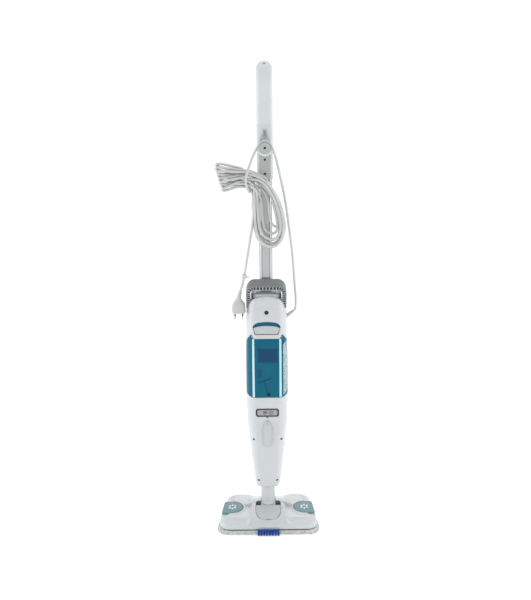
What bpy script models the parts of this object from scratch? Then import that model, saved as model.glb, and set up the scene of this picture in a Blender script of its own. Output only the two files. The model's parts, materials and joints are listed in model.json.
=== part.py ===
"""Upright steam mop: floor head with pad, swivelling neck, body with boiler, pump and water tank,
aluminium tube, D-shaped handle, and the mains cord hung in a hank on its hook.

Metres, +Z up. The origin is the centre of the pad's sole, on the floor. -Y is the front."""

import math

import bmesh
import bpy
from mathutils import Matrix, Vector

# Clearances
GAP = 0.0003  # between pieces that rest on each other
SPLIT_GAP = 0.0002  # from a parting plane to each shell
WALL = 0.0022  # moulded housings
OVERRUN = 0.004  # how far a cutter runs past the face it cuts

# Floor head
PAD_TOP = 0.0085
SOLE_TOP = 0.0125
HEAD_FRONT_HALF = 0.131
HEAD_REAR_HALF = 0.118
HEAD_FRONT = -0.079
HEAD_REAR = 0.078
HEAD_CORNER = 0.027
WING_TOP = 0.036
SADDLE_HALF = 0.048
SLOT_HALF = 0.0342
SLOT_FRONT = -0.050
SLOT_REAR = 0.064
PEDAL_TOP = 0.0395
PEDAL_INNER = 0.066
PEDAL_OUTER = 0.122
PEDAL_HALF_DEPTH = 0.029
PEDAL_Y = -0.009
PEDAL_CLEAR = 0.0012
BRUSH_HALF = 0.030
TUFTS = 8

# Neck
PIVOT_Z = 0.034
PIN_RADIUS = 0.004
YOKE_HALF = 0.0335
YOKE_RADIUS = 0.015
YOKE_TOP = 0.0495
NECK_RADIUS = 0.019
NECK_TOP = 0.140

# Body: z, half width, front depth, back depth
BODY_STATIONS = (
    (0.119, 0.0335, 0.0340, 0.0320),
    (0.146, 0.0375, 0.0375, 0.0350),
    (0.190, 0.0425, 0.0425, 0.0390),
    (0.242, 0.0480, 0.0480, 0.0430),
    (0.296, 0.0530, 0.0495, 0.0450),
    (0.350, 0.0550, 0.0500, 0.0460),
    (0.460, 0.0545, 0.0500, 0.0460),
    (0.600, 0.0520, 0.0495, 0.0455),
    (0.650, 0.0515, 0.0490, 0.0450),
)
BODY_SPLIT = -0.008
BODY_CROWN = 0.6465
CROWN_DROP = 0.0295
BODY_FOOT = 0.105
FACET_HALF = 0.0305
# Front corner of the section from facet edge to parting plane, as shares of its width and depth
CORNER = ((0.0, 0.0), (0.35, 0.07), (0.72, 0.28), (0.92, 0.55), (1.0, 0.85), (1.0, 1.0))
BACK_STEPS = 5
TANK_BOTTOM = 0.3800
TANK_TOP = 0.5420
TANK_BACK = -0.0092
LOWER_COVER_TOP = 0.3763
UPPER_COVER_BOTTOM = 0.5458
COLLAR_SCALE = 0.74
RECESS = ((-0.030, 0.5495), (0.030, 0.5495), (0.036, 0.572), (0.026, 0.5815), (0.0, 0.5845),
          (-0.026, 0.5815), (-0.036, 0.572))
RELEASE_HINGE = (0.0, -0.0450, 0.5520)
TUBE_SCREW_Z = 0.608
WINDOW = (0.0300, 0.3265, 0.3490)
LEVER_SHAPE = (
    (0.2400, 0.0), (0.2404, 0.0028), (0.2418, 0.0052), (0.2455, 0.0078), (0.2542, 0.0101), (0.2650, 0.0118),
    (0.2760, 0.0127), (0.2860, 0.0128), (0.2950, 0.0118), (0.3030, 0.0098), (0.3095, 0.0070), (0.3135, 0.0043),
    (0.3154, 0.0020), (0.3160, 0.0),
)
LEVER_PIVOT_Z = 0.2535
LEVER_BASE_Y = -0.0505
COVER_SCREWS = ((0.0365, 0.2600), (0.0245, 0.1350))

# Carry arch over the collar
ARCH_HALF = 0.0507
ARCH_TOP = 0.674
ARCH_BAND = 0.0105
ARCH_FRONT = -0.042
ARCH_DEPTH = 0.028
ARCH_FOOT = 0.6297
ARCH_LEAN = 0.46  # rise of the top towards the back

# Tube and handle
TUBE_HALF = 0.0162
TUBE_DEPTH = 0.024
TUBE_Y = 0.006
TUBE_BOTTOM = 0.555
TUBE_TOP = 1.060
HANDLE_BOTTOM = 0.936
HANDLE_HALF = 0.0195
HANDLE_FRONT = -0.018
HANDLE_BACK = 0.030
COVER_DEPTH = 0.009
LOOP_Y = 0.031
LOOP_Z = 1.162
LOOP_RADIUS = 0.049
GRIP_GAP_RADIUS = 0.018
GRIP_GAP_BOTTOM = 1.080
HANDLE_WALL = 0.0024
TRIGGER_PIVOT = (0.0, 0.0570, 1.1500)
HOOK_Z = 1.010
HOOK_STEM = 0.0112
HOOK_CAP = 0.0130
HANDLE_SCREWS = (1.045, 0.982, 0.948)

# Mains cord
CORD_RADIUS = 0.003
RISER_ROUTE = (
    (0.0714, 0.0020, 0.5992), (0.0740, 0.0018, 0.6036), (0.0754, 0.0010, 0.6140), (0.0752, -0.0020, 0.6380),
    (0.0708, -0.0080, 0.6900), (0.0662, -0.0120, 0.7490), (0.0590, -0.0160, 0.8080),
    (0.0528, -0.0180, 0.8560), (0.0460, -0.0200, 0.8980), (0.0375, -0.0230, 0.9380),
    (0.0265, -0.0252, 0.9850), (0.0168, -0.0257, 1.0120), (0.0092, -0.0258, 1.0228),
    (0.0000, -0.0258, 1.0258), (-0.0092, -0.0259, 1.0226), (-0.0170, -0.0265, 1.0125),
    (-0.0250, -0.0290, 0.9990), (-0.0308, -0.0325, 0.9860), (-0.0335, -0.0345, 0.9775),
)
TAIL_ROUTE = (
    (-0.0325, -0.0360, 0.8170), (-0.0370, -0.0356, 0.7980), (-0.0425, -0.0352, 0.7660),
    (-0.0480, -0.0345, 0.7330), (-0.0525, -0.0338, 0.7090), (-0.0562, -0.0325, 0.6890),
    (-0.0608, -0.0300, 0.6720), (-0.0636, -0.0286, 0.6645),
)
HANK_OUTLINE = (
    (-0.125, 0.950), (-0.117, 0.968), (-0.095, 0.9755), (-0.060, 0.9755), (-0.030, 0.9725),
    (0.000, 0.960), (0.020, 0.925), (0.037, 0.875), (0.0475, 0.835), (0.0450, 0.803),
    (0.030, 0.780), (0.008, 0.7710), (-0.014, 0.778), (-0.025, 0.800), (-0.029, 0.840),
    (-0.031, 0.875), (-0.042, 0.900), (-0.075, 0.903), (-0.108, 0.903), (-0.122, 0.918),
)
HANK_FRONT = -0.048
HANK_DEPTH = 0.026
PLUG_X = -0.0700
PLUG_Y = -0.028
PLUG_BOTTOM = 0.602
PLUG_TOP = 0.640
PLUG_CONE_TOP = 0.6625
PIN_SPACING = 0.019
PIN_LENGTH = 0.017

COLOURS = {
    "white_plastic": ((0.83, 0.86, 0.87), 0.32, 0.0),
    "grip_plastic": ((0.70, 0.76, 0.80), 0.45, 0.0),
    "pale_grey_plastic": ((0.62, 0.65, 0.66), 0.40, 0.0),
    "grey_plastic": ((0.38, 0.40, 0.40), 0.45, 0.0),
    "teal_clear": ((0.01, 0.30, 0.38), 0.12, 0.0),
    "teal_plastic": ((0.02, 0.36, 0.42), 0.30, 0.0),
    "pedal_teal": ((0.24, 0.40, 0.44), 0.40, 0.0),
    "dark_plastic": ((0.04, 0.045, 0.05), 0.45, 0.0),
    "smoked_clear": ((0.30, 0.31, 0.31), 0.15, 0.0),
    "aluminium": ((0.70, 0.71, 0.72), 0.28, 1.0),
    "steel": ((0.45, 0.45, 0.46), 0.30, 1.0),
    "brass": ((0.68, 0.53, 0.27), 0.30, 1.0),
    "cast_alloy": ((0.55, 0.55, 0.56), 0.55, 1.0),
    "hose_silicone": ((0.75, 0.74, 0.70), 0.50, 0.0),
    "board_green": ((0.03, 0.20, 0.09), 0.45, 0.0),
    "terry": ((0.80, 0.81, 0.81), 0.95, 0.0),
    "bristle_blue": ((0.01, 0.03, 0.28), 0.55, 0.0),
    "cord_pvc": ((0.70, 0.70, 0.68), 0.50, 0.0),
}


# ---------------------------------------------------------------- scene, materials, small tools


def start_scene():
    """Empty the file and make the two collections."""
    for thing in list(bpy.data.objects):
        bpy.data.objects.remove(thing)
    made = []
    for name in ("steam_mop", "cutters"):
        collection = bpy.data.collections.new(name)
        bpy.context.scene.collection.children.link(collection)
        made.append(collection)
    return made


PARTS, CUTTERS = start_scene()


def material(name):
    """The named finish, made once."""
    found = bpy.data.materials.get(name)
    if found:
        return found
    colour, roughness, metallic = COLOURS[name]
    made = bpy.data.materials.new(name)
    made.use_nodes = True
    shader = made.node_tree.nodes["Principled BSDF"]
    shader.inputs["Base Color"].default_value = (*colour, 1.0)
    shader.inputs["Roughness"].default_value = roughness
    shader.inputs["Metallic"].default_value = metallic
    made.diffuse_color = (*colour, 1.0)
    return made


def place(thing, finish):
    """Put a piece among the parts, or a cutter, which has no finish, among the cutters."""
    if finish is None:
        CUTTERS.objects.link(thing)
        thing.hide_render = True
        thing.display_type = "WIRE"
    else:
        PARTS.objects.link(thing)
        thing.data.materials.clear()
        thing.data.materials.append(material(finish))
    return thing


def mesh_piece(name, bm, finish):
    """An object from a bmesh, with flat faces kept sharp and round ones smooth."""
    mesh = bpy.data.meshes.new(name)
    bm.to_mesh(mesh)
    bm.free()
    mesh.shade_smooth()
    mesh.set_sharp_from_angle(angle=math.radians(35))
    return place(bpy.data.objects.new(name, mesh), finish)


def bevel(thing, width, segments=2):
    """Round the edges that turn by more than 40 degrees."""
    modifier = thing.modifiers.new("rounding", "BEVEL")
    modifier.width = width
    modifier.segments = segments
    modifier.limit_method = "ANGLE"
    modifier.angle_limit = math.radians(40)
    return thing


def box(name, low, high, finish, rounding=0.0):
    """A block between two opposite corners."""
    low, high = Vector(map(min, low, high)), Vector(map(max, low, high))
    bm = bmesh.new()
    size = Matrix.Diagonal((*(high - low), 1.0))
    bmesh.ops.create_cube(bm, size=1.0, matrix=Matrix.Translation((low + high) / 2) @ size)
    made = mesh_piece(name, bm, finish)
    return bevel(made, rounding) if rounding else made


def rod(name, start, end, radius, finish, end_radius=None, sides=24):
    """A round bar or cone between two points."""
    start, end = Vector(start), Vector(end)
    along = end - start
    turn = along.to_track_quat("Z", "Y").to_matrix().to_4x4()
    bm = bmesh.new()
    bmesh.ops.create_cone(
        bm, cap_ends=True, segments=sides, radius1=radius,
        radius2=radius if end_radius is None else end_radius, depth=along.length,
        matrix=Matrix.Translation((start + end) / 2) @ turn,
    )
    return mesh_piece(name, bm, finish)


def turned(name, profile, finish, matrix=None, steps=24):
    """A turned piece: (radius, height) points from top to bottom, starting and ending on the axis."""
    mesh = bpy.data.meshes.new(name)
    points = [(radius, 0.0, height) for radius, height in profile]
    mesh.from_pydata(points, [(i, i + 1) for i in range(len(points) - 1)], [])
    thing = bpy.data.objects.new(name, mesh)
    modifier = thing.modifiers.new("turning", "SCREW")
    modifier.steps = steps
    modifier.render_steps = steps
    modifier.use_merge_vertices = True
    modifier.merge_threshold = 0.00001
    if matrix:
        thing.matrix_world = matrix
    return place(thing, finish)


def curve_object(name, runs, cyclic, two_d):
    """A curve object holding one straight-segment spline for each run of points."""
    curve = bpy.data.curves.new(name, "CURVE")
    curve.dimensions = "2D" if two_d else "3D"
    for run in runs:
        spline = curve.splines.new("POLY")
        spline.points.add(len(run) - 1)
        for point, place_of in zip(spline.points, run):
            point.co = (*place_of, *(0.0,) * (3 - len(place_of)), 1.0)
        spline.use_cyclic_u = cyclic
    return bpy.data.objects.new(name, curve)


def tube(name, points, radius, finish, resolution=2):
    """A round tube along a list of points."""
    made = curve_object(name, [points], cyclic=False, two_d=False)
    made.data.bevel_depth = radius
    made.data.bevel_resolution = resolution
    made.data.use_fill_caps = True
    return place(made, finish)


def plate(name, outline, thickness, finish, matrix, holes=()):
    """A flat outline given a thickness centred on the plane of the matrix, as a mesh."""
    flat = curve_object(name + "_outline", [outline, *holes], cyclic=True, two_d=True)
    flat.data.fill_mode = "BOTH"
    flat.data.extrude = thickness / 2
    CUTTERS.objects.link(flat)
    bpy.context.view_layer.update()
    shape = flat.evaluated_get(bpy.context.evaluated_depsgraph_get())
    mesh = bpy.data.meshes.new_from_object(shape)
    bpy.data.objects.remove(flat)
    bm = bmesh.new()
    bm.from_mesh(mesh)
    bpy.data.meshes.remove(mesh)
    bmesh.ops.remove_doubles(bm, verts=bm.verts, dist=0.00001)
    bmesh.ops.transform(bm, matrix=matrix, verts=bm.verts)
    bmesh.ops.recalc_face_normals(bm, faces=bm.faces)
    return mesh_piece(name, bm, finish)


def rings_solid(name, rings, finish):
    """A closed solid through rings of equal point counts, capped at both ends."""
    bm = bmesh.new()
    rows = [[bm.verts.new(point) for point in ring] for ring in rings]
    count = len(rows[0])
    for low, high in zip(rows, rows[1:]):
        for i in range(count):
            j = (i + 1) % count
            bm.faces.new((low[i], low[j], high[j], high[i]))
    bm.faces.new(rows[0])
    bm.faces.new(rows[-1])
    bmesh.ops.recalc_face_normals(bm, faces=bm.faces)
    return mesh_piece(name, bm, finish)


def shell(name, rows, wall, finish, outward):
    """A moulded wall: an open surface through rows of points, thickened away from `outward`."""
    bm = bmesh.new()
    grid = [[bm.verts.new(point) for point in row] for row in rows]
    for low, high in zip(grid, grid[1:]):
        for i in range(len(low) - 1):
            bm.faces.new((low[i], low[i + 1], high[i + 1], high[i]))
    bm.normal_update()
    middle = bm.faces[:][len(bm.faces) // 2]
    if middle.normal.dot(Vector(outward)) < 0:
        bmesh.ops.reverse_faces(bm, faces=bm.faces)
    made = mesh_piece(name, bm, finish)
    modifier = made.modifiers.new("wall", "SOLIDIFY")
    modifier.thickness = wall
    modifier.offset = -1.0
    return made


def boolean(thing, other, operation):
    modifier = thing.modifiers.new(operation.lower(), "BOOLEAN")
    modifier.operation = operation
    modifier.solver = "EXACT"
    modifier.object = other


def cut(thing, *others):
    for other in others:
        boolean(thing, other, "DIFFERENCE")
    return thing


def join(thing, *others):
    for other in others:
        boolean(thing, other, "UNION")
    return thing


def joint_frame(name, where, things):
    """An empty on a joint's axis that carries the pieces of the moving body."""
    empty = bpy.data.objects.new(name, None)
    empty.empty_display_size = 0.02
    empty.location = where
    PARTS.objects.link(empty)
    for thing in things:
        thing.parent = empty
        thing.matrix_parent_inverse = Matrix.Translation(-Vector(where))


def arc(centre, radius, start, end, steps):
    """Points on an arc in a plane, from one angle to another, in degrees."""
    angles = [math.radians(start + (end - start) * i / steps) for i in range(steps + 1)]
    return [(centre[0] + radius * math.cos(a), centre[1] + radius * math.sin(a)) for a in angles]


def smooth_line(route, spacing, closed=False):
    """Evenly spaced points on a smooth curve through the route's points."""
    points = [Vector(point) for point in route]
    count = len(points)
    spans = count if closed else count - 1
    fine = []
    for i in range(spans):
        here, there = points[i], points[(i + 1) % count]
        before = points[i - 1] if closed or i > 0 else here * 2 - there
        after = points[(i + 2) % count] if closed or i + 2 < count else there * 2 - here
        for step in range(12):
            t = step / 12
            fine.append(0.5 * (
                2 * here + (there - before) * t
                + (2 * before - 5 * here + 4 * there - after) * t * t
                + (3 * here - before - 3 * there + after) * t ** 3
            ))
    fine.append(points[0] if closed else points[-1])
    lengths = [0.0]
    for a, b in zip(fine, fine[1:]):
        lengths.append(lengths[-1] + (b - a).length)
    steps = max(2, round(lengths[-1] / spacing))
    even, k = [], 0
    for i in range(steps + 1):
        target = lengths[-1] * i / steps
        while k < len(fine) - 2 and lengths[k + 1] < target:
            k += 1
        share = (target - lengths[k]) / (lengths[k + 1] - lengths[k])
        even.append(fine[k].lerp(fine[k + 1], share))
    return even[:-1] if closed else even


# Planes for flat outlines: their x and y become the named world axes.
FACING_FRONT = Matrix(((1, 0, 0, 0), (0, 0, 1, 0), (0, 1, 0, 0), (0, 0, 0, 1)))  # x, z
FACING_SIDE = Matrix(((0, 0, 1, 0), (1, 0, 0, 0), (0, 1, 0, 0), (0, 0, 0, 1)))  # y, z


def front_plate(name, outline, y_front, depth, finish, holes=()):
    """A plate whose outline is in (x, z), from y_front towards the back."""
    at = Matrix.Translation((0.0, y_front + depth / 2, 0.0)) @ FACING_FRONT
    return plate(name, outline, depth, finish, at, holes)


def side_plate(name, outline, half, finish, holes=(), x=0.0):
    """A plate whose outline is in (y, z), centred on x."""
    return plate(name, outline, 2 * half, finish, Matrix.Translation((x, 0, 0)) @ FACING_SIDE, holes)


# ---------------------------------------------------------------- body sections


def body_size(z):
    """Half width, front depth and back depth of the body at a height."""
    if z <= BODY_STATIONS[0][0]:
        return BODY_STATIONS[0][1:]
    for low, high in zip(BODY_STATIONS, BODY_STATIONS[1:]):
        if z <= high[0]:
            share = (z - low[0]) / (high[0] - low[0])
            return tuple(a + (b - a) * share for a, b in zip(low[1:], high[1:]))
    return BODY_STATIONS[-1][1:]


def front_half(z, inset, split):
    """The section from the left parting line round the front to the right one."""
    half, front, _ = body_size(z)
    facet = FACET_HALF * min(1.0, half / 0.052)
    width, depth = half - inset - facet, front - inset + split
    right = [(facet + width * a, split - depth + depth * b) for a, b in CORNER]
    left = [(-x, y) for x, y in reversed(right)]
    return [*left, (0.0, split - depth), *right]


def front_outline(z, inset, split):
    """The same line for a flat plate, without the point in the middle of the straight facet."""
    return [(x, y) for x, y in front_half(z, inset, split) if x != 0.0]


def back_half(z, inset, split):
    """The section from the right parting line round the back to the left one."""
    half, _, back = body_size(z)
    half, back = half - inset, back - inset
    straight = split + 0.3 * (back - split)
    angles = [math.pi * i / (2 * BACK_STEPS) for i in range(2 * BACK_STEPS + 1)]
    curved = [
        (half * math.cos(a), straight + (back - straight) * math.sin(a) ** 0.8) for a in angles
    ]
    return [(half, split), *curved, (-half, split)]


def crown_z(x):
    """Height of the domed top of the body."""
    return BODY_CROWN - CROWN_DROP * (x / body_size(0.6)[0]) ** 2


def crown_row(line, scale, drop, split):
    """A section line pulled in towards the middle and laid on the dome."""
    moved = [(x * scale, split + (y - split) * scale) for x, y in line]
    return [(x, y, crown_z(x) - drop) for x, y in moved]


def foot_row(line, scale, z, split):
    return [(x * scale, split + (y - split) * scale, z) for x, y in line]


def body_rows(section, split, levels, foot=False, crown=False):
    """Rows of points up one shell of the body."""
    rows = []
    if foot:
        line = section(0.119, 0.0, split)
        for scale, z in ((0.72, BODY_FOOT), (0.88, BODY_FOOT + 0.002), (0.97, BODY_FOOT + 0.007)):
            rows.append(foot_row(line, scale, z, split))
    rows += [[(x, y, z) for x, y in section(z, 0.0, split)] for z in levels]
    if crown:
        line = section(0.603, 0.0, split)
        for scale, drop in ((1.0, 0.012), (0.985, 0.005), (0.94, 0.001), (0.73, 0.0)):
            rows.append(crown_row(line, scale, drop, split))
    return rows


# ---------------------------------------------------------------- floor head


def head_ring(inset, z, extra=0.0):
    """The head's plan outline, a trapezoid with round corners, `inset` inside its edge."""
    front, rear = HEAD_FRONT_HALF + extra - inset, HEAD_REAR_HALF + extra - inset
    low, high = HEAD_FRONT - extra + inset, HEAD_REAR + extra - inset
    radius = max(HEAD_CORNER - inset, 0.008)
    ring = []
    for centre_x, centre_y, start in (
        (rear - radius, high - radius, 0), (radius - rear, high - radius, 90),
        (radius - front, low + radius, 180), (front - radius, low + radius, 270),
    ):
        ring += [(x, y, z) for x, y in arc((centre_x, centre_y), radius, start, start + 90, 5)]
    return ring


def d_outline(side, clear=0.0):
    """A D in plan: straight outer edge, round inner end."""
    depth = PEDAL_HALF_DEPTH + clear
    inner, outer = PEDAL_INNER - clear, PEDAL_OUTER + clear
    reach = 0.034
    centre = inner + reach
    round_end = [
        (centre + reach * math.cos(math.radians(a)), PEDAL_Y + depth * math.sin(math.radians(a)))
        for a in range(90, 271, 20)
    ]
    points = [(outer, PEDAL_Y - depth), (outer - 0.006, PEDAL_Y + depth), *round_end]
    return [(side * x, y) for x, y in points]


def spring_points(x, y, low, high, radius, turns):
    steps = 8
    count = int(turns * steps)
    return [
        (x + radius * math.cos(2 * math.pi * i / steps), y + radius * math.sin(2 * math.pi * i / steps),
         low + (high - low) * i / count)
        for i in range(count + 1)
    ]


def make_head():
    rings_solid(
        "mop_pad",
        [head_ring(0.004, 0.0, 0.0055), head_ring(0.0, 0.003, 0.0055),
         head_ring(0.0, 0.006, 0.0055), head_ring(0.004, PAD_TOP, 0.0055)],
        "terry",
    )
    rings_solid("sole_plate", [head_ring(0.004, PAD_TOP + GAP), head_ring(0.004, SOLE_TOP)], "grey_plastic")

    body = rings_solid(
        "head_shell",
        [head_ring(0.0, SOLE_TOP + GAP), head_ring(0.0, 0.022), head_ring(0.003, 0.028),
         head_ring(0.010, 0.033), head_ring(0.024, WING_TOP)],
        "white_plastic",
    )
    profile = [
        (-0.078, SOLE_TOP + 0.001), (-0.074, 0.020), (-0.060, 0.030), (-0.040, 0.041), (-0.024, 0.0475),
        (0.010, 0.0475), (0.034, 0.044), (0.058, 0.037), (0.072, 0.028), (0.074, SOLE_TOP + 0.001),
    ]
    saddle = bevel(side_plate("saddle_cutter", profile, SADDLE_HALF, None), 0.005)
    join(body, saddle)
    for side in (-1, 1):
        hollow = box("wing_hollow", (side * 0.052, -0.060, 0.005), (side * 0.112, 0.058, 0.0305), None)
        middle = Matrix.Translation((0, 0, 0.044))
        pocket = plate("pedal_pocket", d_outline(side, PEDAL_CLEAR), 0.040, None, middle)
        cut(body, hollow, pocket)
    slot = box("yoke_slot", (-SLOT_HALF, SLOT_FRONT, 0.005), (SLOT_HALF, SLOT_REAR, 0.060), None)
    pin_bore = rod("pin_bore", (-0.0445, 0, PIVOT_Z), (0.0445, 0, PIVOT_Z), PIN_RADIUS + GAP, None,
                   sides=16)
    cut(body, slot, pin_bore)

    rod("pitch_pin", (-0.0440, 0, PIVOT_Z), (0.0440, 0, PIVOT_Z), PIN_RADIUS, "steel", sides=16)
    box("steam_diffuser", (-0.024, -0.028, SOLE_TOP + GAP), (0.024, 0.028, 0.0165), "grey_plastic", 0.001)

    strip = box("brush", (-BRUSH_HALF, -0.0905, 0.0095), (BRUSH_HALF, HEAD_FRONT - 0.0005, 0.0145),
                "bristle_blue")
    pitch = 2 * BRUSH_HALF / TUFTS
    for i in range(TUFTS):
        middle = -BRUSH_HALF + pitch * (i + 0.5)
        tuft = box("tuft_cutter", (middle - 0.0026, -0.0900, 0.0010), (middle + 0.0026, -0.0862, 0.0110),
                   None)
        join(strip, tuft)

    for side, word in ((-1, "left"), (1, "right")):
        pedal = plate(
            f"{word}_pedal", d_outline(side), PEDAL_TOP - 0.0325, "pedal_teal",
            Matrix.Translation((0, 0, (PEDAL_TOP + 0.0325) / 2)),
        )
        joint_frame(f"{word}_pedal_axis", (side * (PEDAL_INNER + 0.001), PEDAL_Y, 0.034), [pedal])
        tube(
            f"{word}_pedal_spring",
            spring_points(side * 0.100, PEDAL_Y, SOLE_TOP + 0.0016, 0.0310, 0.006, 3),
            0.0006, "steel",
        )


def make_neck():
    drum = arc((0.0, PIVOT_Z), YOKE_RADIUS, 205, 350, 12)
    profile = [
        (-0.0185, YOKE_TOP), (-0.033, 0.0360), (-0.0460, 0.0195), (-0.0425, 0.0175), (-0.0290, 0.0290),
        *drum, (0.0190, 0.0430), (0.0190, YOKE_TOP),
    ]
    yoke = side_plate("yoke", profile, YOKE_HALF, "pale_grey_plastic")
    corner = 0.018
    u_shape = [
        (YOKE_HALF + 0.001, 0.060), (-YOKE_HALF - 0.001, 0.060),
        *arc((-YOKE_HALF + corner - 0.001, 0.0172 + corner), corner, 180, 270, 6),
        *arc((YOKE_HALF - corner + 0.001, 0.0172 + corner), corner, 270, 360, 6),
    ]
    boolean(yoke, front_plate("yoke_outline", u_shape, -0.060, 0.120, None), "INTERSECT")
    yoke_bore = rod("yoke_bore", (-0.05, 0, PIVOT_Z), (0.05, 0, PIVOT_Z), PIN_RADIUS + 0.0001, None,
                    sides=16)
    cut(yoke, yoke_bore)

    neck = turned(
        "neck_tube",
        [(0.0, NECK_TOP), (0.0165, NECK_TOP), (0.0165, 0.1240), (NECK_RADIUS, 0.1215),
         (NECK_RADIUS, YOKE_TOP + GAP), (0.0, YOKE_TOP + GAP)],
        "white_plastic",
    )
    bore = rod("neck_bore", (0, 0, 0.060), (0, 0, NECK_TOP + OVERRUN), 0.0125, None)
    cut(neck, bore)
    joint_frame("head_tilt_axis", (0.0, 0.0, PIVOT_Z), [yoke, neck])


# ---------------------------------------------------------------- body and its shells


def screw(name, x, y, z, finish="dark_plastic", radius=0.0024, length=0.010):
    """A front-facing screw: head at y, shank running back."""
    head = rod(name, (x, y, z), (x, y + 0.0025, z), radius, finish, sides=16)
    shank = rod(name + "_cutter", (x, y + 0.001, z), (x, y + length, z), radius * 0.5, None, sides=12)
    return join(head, shank)


def screw_hole(x, y, z, radius, length=0.02):
    return rod("screw_hole", (x, y - 0.01, z), (x, y + length, z), radius, None, sides=16)


def facet_y(z):
    """Front facet's y at a height."""
    return -body_size(z)[1]


def make_shells():
    split_front = BODY_SPLIT - SPLIT_GAP
    split_back = BODY_SPLIT + SPLIT_GAP
    low_levels = [0.119, 0.146, 0.190, 0.242, 0.296, 0.350, LOWER_COVER_TOP]
    rear = shell(
        "rear_housing",
        body_rows(back_half, split_back, low_levels + [0.460, 0.540, 0.600], foot=True, crown=True),
        WALL, "white_plastic", (0, 1, 0),
    )
    cut(rear, rod("relief_hole", (0.0300, 0.002, 0.5680), (0.0740, 0.002, 0.6011), 0.0066, None))

    lower = shell(
        "lower_front_cover", body_rows(front_half, split_front, low_levels, foot=True),
        WALL, "white_plastic", (0, -1, 0),
    )
    half, bottom, top = WINDOW
    window_hole = box("window_hole", (-half - GAP, -0.070, bottom - GAP), (half + GAP, -0.030, top + GAP),
                      None)
    cut(lower, window_hole)
    cut(lower, screw_hole(0.0, facet_y(LEVER_PIVOT_Z), LEVER_PIVOT_Z, 0.0040))
    for x, z in COVER_SCREWS:
        for side in (-1, 1):
            y = facet_y(z) + 0.004
            cut(lower, screw_hole(side * x, y, z, 0.0028))
            word = "left" if side < 0 else "right"
            level = "middle" if z > 0.2 else "bottom"
            screw(f"{level}_{word}_screw", side * x, y, z)

    upper = shell(
        "upper_front_cover",
        body_rows(front_half, split_front, [UPPER_COVER_BOTTOM, 0.575, 0.600], crown=True),
        WALL, "white_plastic", (0, -1, 0),
    )
    cut(upper, front_plate("recess_hole", RECESS, -0.070, 0.040, None))
    cut(upper, screw_hole(0.0, -0.049, TUBE_SCREW_Z, 0.0054))
    screw("tube_screw", 0.0, -0.0478, TUBE_SCREW_Z, radius=0.0050, length=0.040)

    back = [(x * 1.06, z + (0.0020 if z > 0.56 else -0.0020)) for x, z in RECESS]
    front_plate("latch_backplate", back, -0.0420, 0.0030, "teal_plastic")

    pad = [(-0.0275, 0.5515), (0.0275, 0.5515), (0.0310, 0.5660), (0.018, 0.5705), (0.0, 0.5720),
           (-0.018, 0.5705), (-0.0310, 0.5660)]
    release = bevel(front_plate("release_pad", pad, -0.0480, 0.0050, "pale_grey_plastic"), 0.0012)
    joint_frame("release_axis", RELEASE_HINGE, [release])

    tongue = [(0.045, split_front), (0.045, -0.0070), (-0.045, -0.0070), (-0.045, split_front)]
    shelves = [
        plate(word, front_outline(z, 0.0006, split_front) + tongue, 0.0028, None,
              Matrix.Translation((0, 0, z)))
        for word, z in (("bay_floor", 0.3780), ("bay_roof", 0.5440))
    ]
    bay = box("tank_bay", (-0.047, -0.0084, 0.3775), (0.047, -0.0060, 0.5445), "white_plastic")
    join(bay, *shelves)
    cut(bay, rod("socket_hole", (0, -0.02, 0.3920), (0, 0.02, 0.3920), 0.0065, None, sides=20))

    outline = front_half(0.603, 0.0, BODY_SPLIT)[1:-1] + back_half(0.603, 0.0, BODY_SPLIT)
    collar_rings = [foot_row(outline, 0.67, 0.6180, BODY_SPLIT)]
    for scale, rise in ((0.67, 0.0006), (COLLAR_SCALE, 0.0006), (COLLAR_SCALE, 0.0020), (0.715, 0.0045)):
        collar_rings.append(crown_row(outline, scale, -rise, BODY_SPLIT))
    for scale, z in ((0.62, 0.6540), (0.52, 0.6555)):
        collar_rings.append(foot_row(outline, scale, z, BODY_SPLIT))
    collar = rings_solid("collar", collar_rings, "grey_plastic")
    cut(collar, tube_bar("collar_hole", 0.0004, 0.60, 0.70, None))


def tube_outline(clear):
    """Section of the handle tube: flat front and back, round sides."""
    half, deep = TUBE_HALF + clear, TUBE_DEPTH / 2 + clear
    corner = 0.008
    points = []
    for x, y, start in ((half, deep, 0), (-half, deep, 90), (-half, -deep, 180), (half, -deep, 270)):
        centre = (x - math.copysign(corner, x), y - math.copysign(corner, y) + TUBE_Y)
        points += arc(centre, corner, start, start + 90, 4)
    return points


def tube_bar(name, clear, low, high, finish):
    at = Matrix.Translation((0, 0, (low + high) / 2))
    return plate(name, tube_outline(clear), high - low, finish, at)


def make_arch():
    radius = 0.030
    inner_half, inner_top, inner_radius = ARCH_HALF - ARCH_BAND, ARCH_TOP - ARCH_BAND, radius - ARCH_BAND
    outline = [
        (ARCH_HALF, ARCH_FOOT),
        *arc((ARCH_HALF - radius, ARCH_TOP - radius), radius, 0, 90, 6),
        *arc((radius - ARCH_HALF, ARCH_TOP - radius), radius, 90, 180, 6),
        (-ARCH_HALF, ARCH_FOOT), (-inner_half, ARCH_FOOT),
        *arc((inner_radius - inner_half, inner_top - inner_radius), inner_radius, 180, 90, 6),
        *arc((inner_half - inner_radius, inner_top - inner_radius), inner_radius, 90, 0, 6),
        (inner_half, ARCH_FOOT),
    ]
    arch = front_plate("carry_arch", outline, ARCH_FRONT, ARCH_DEPTH, "grey_plastic")
    for vertex in arch.data.vertices:
        share = max(0.0, (vertex.co.z - ARCH_FOOT) / (ARCH_TOP - ARCH_FOOT))
        vertex.co.z += ARCH_LEAN * (vertex.co.y - ARCH_FRONT) * share
    arch.data.update()


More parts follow.
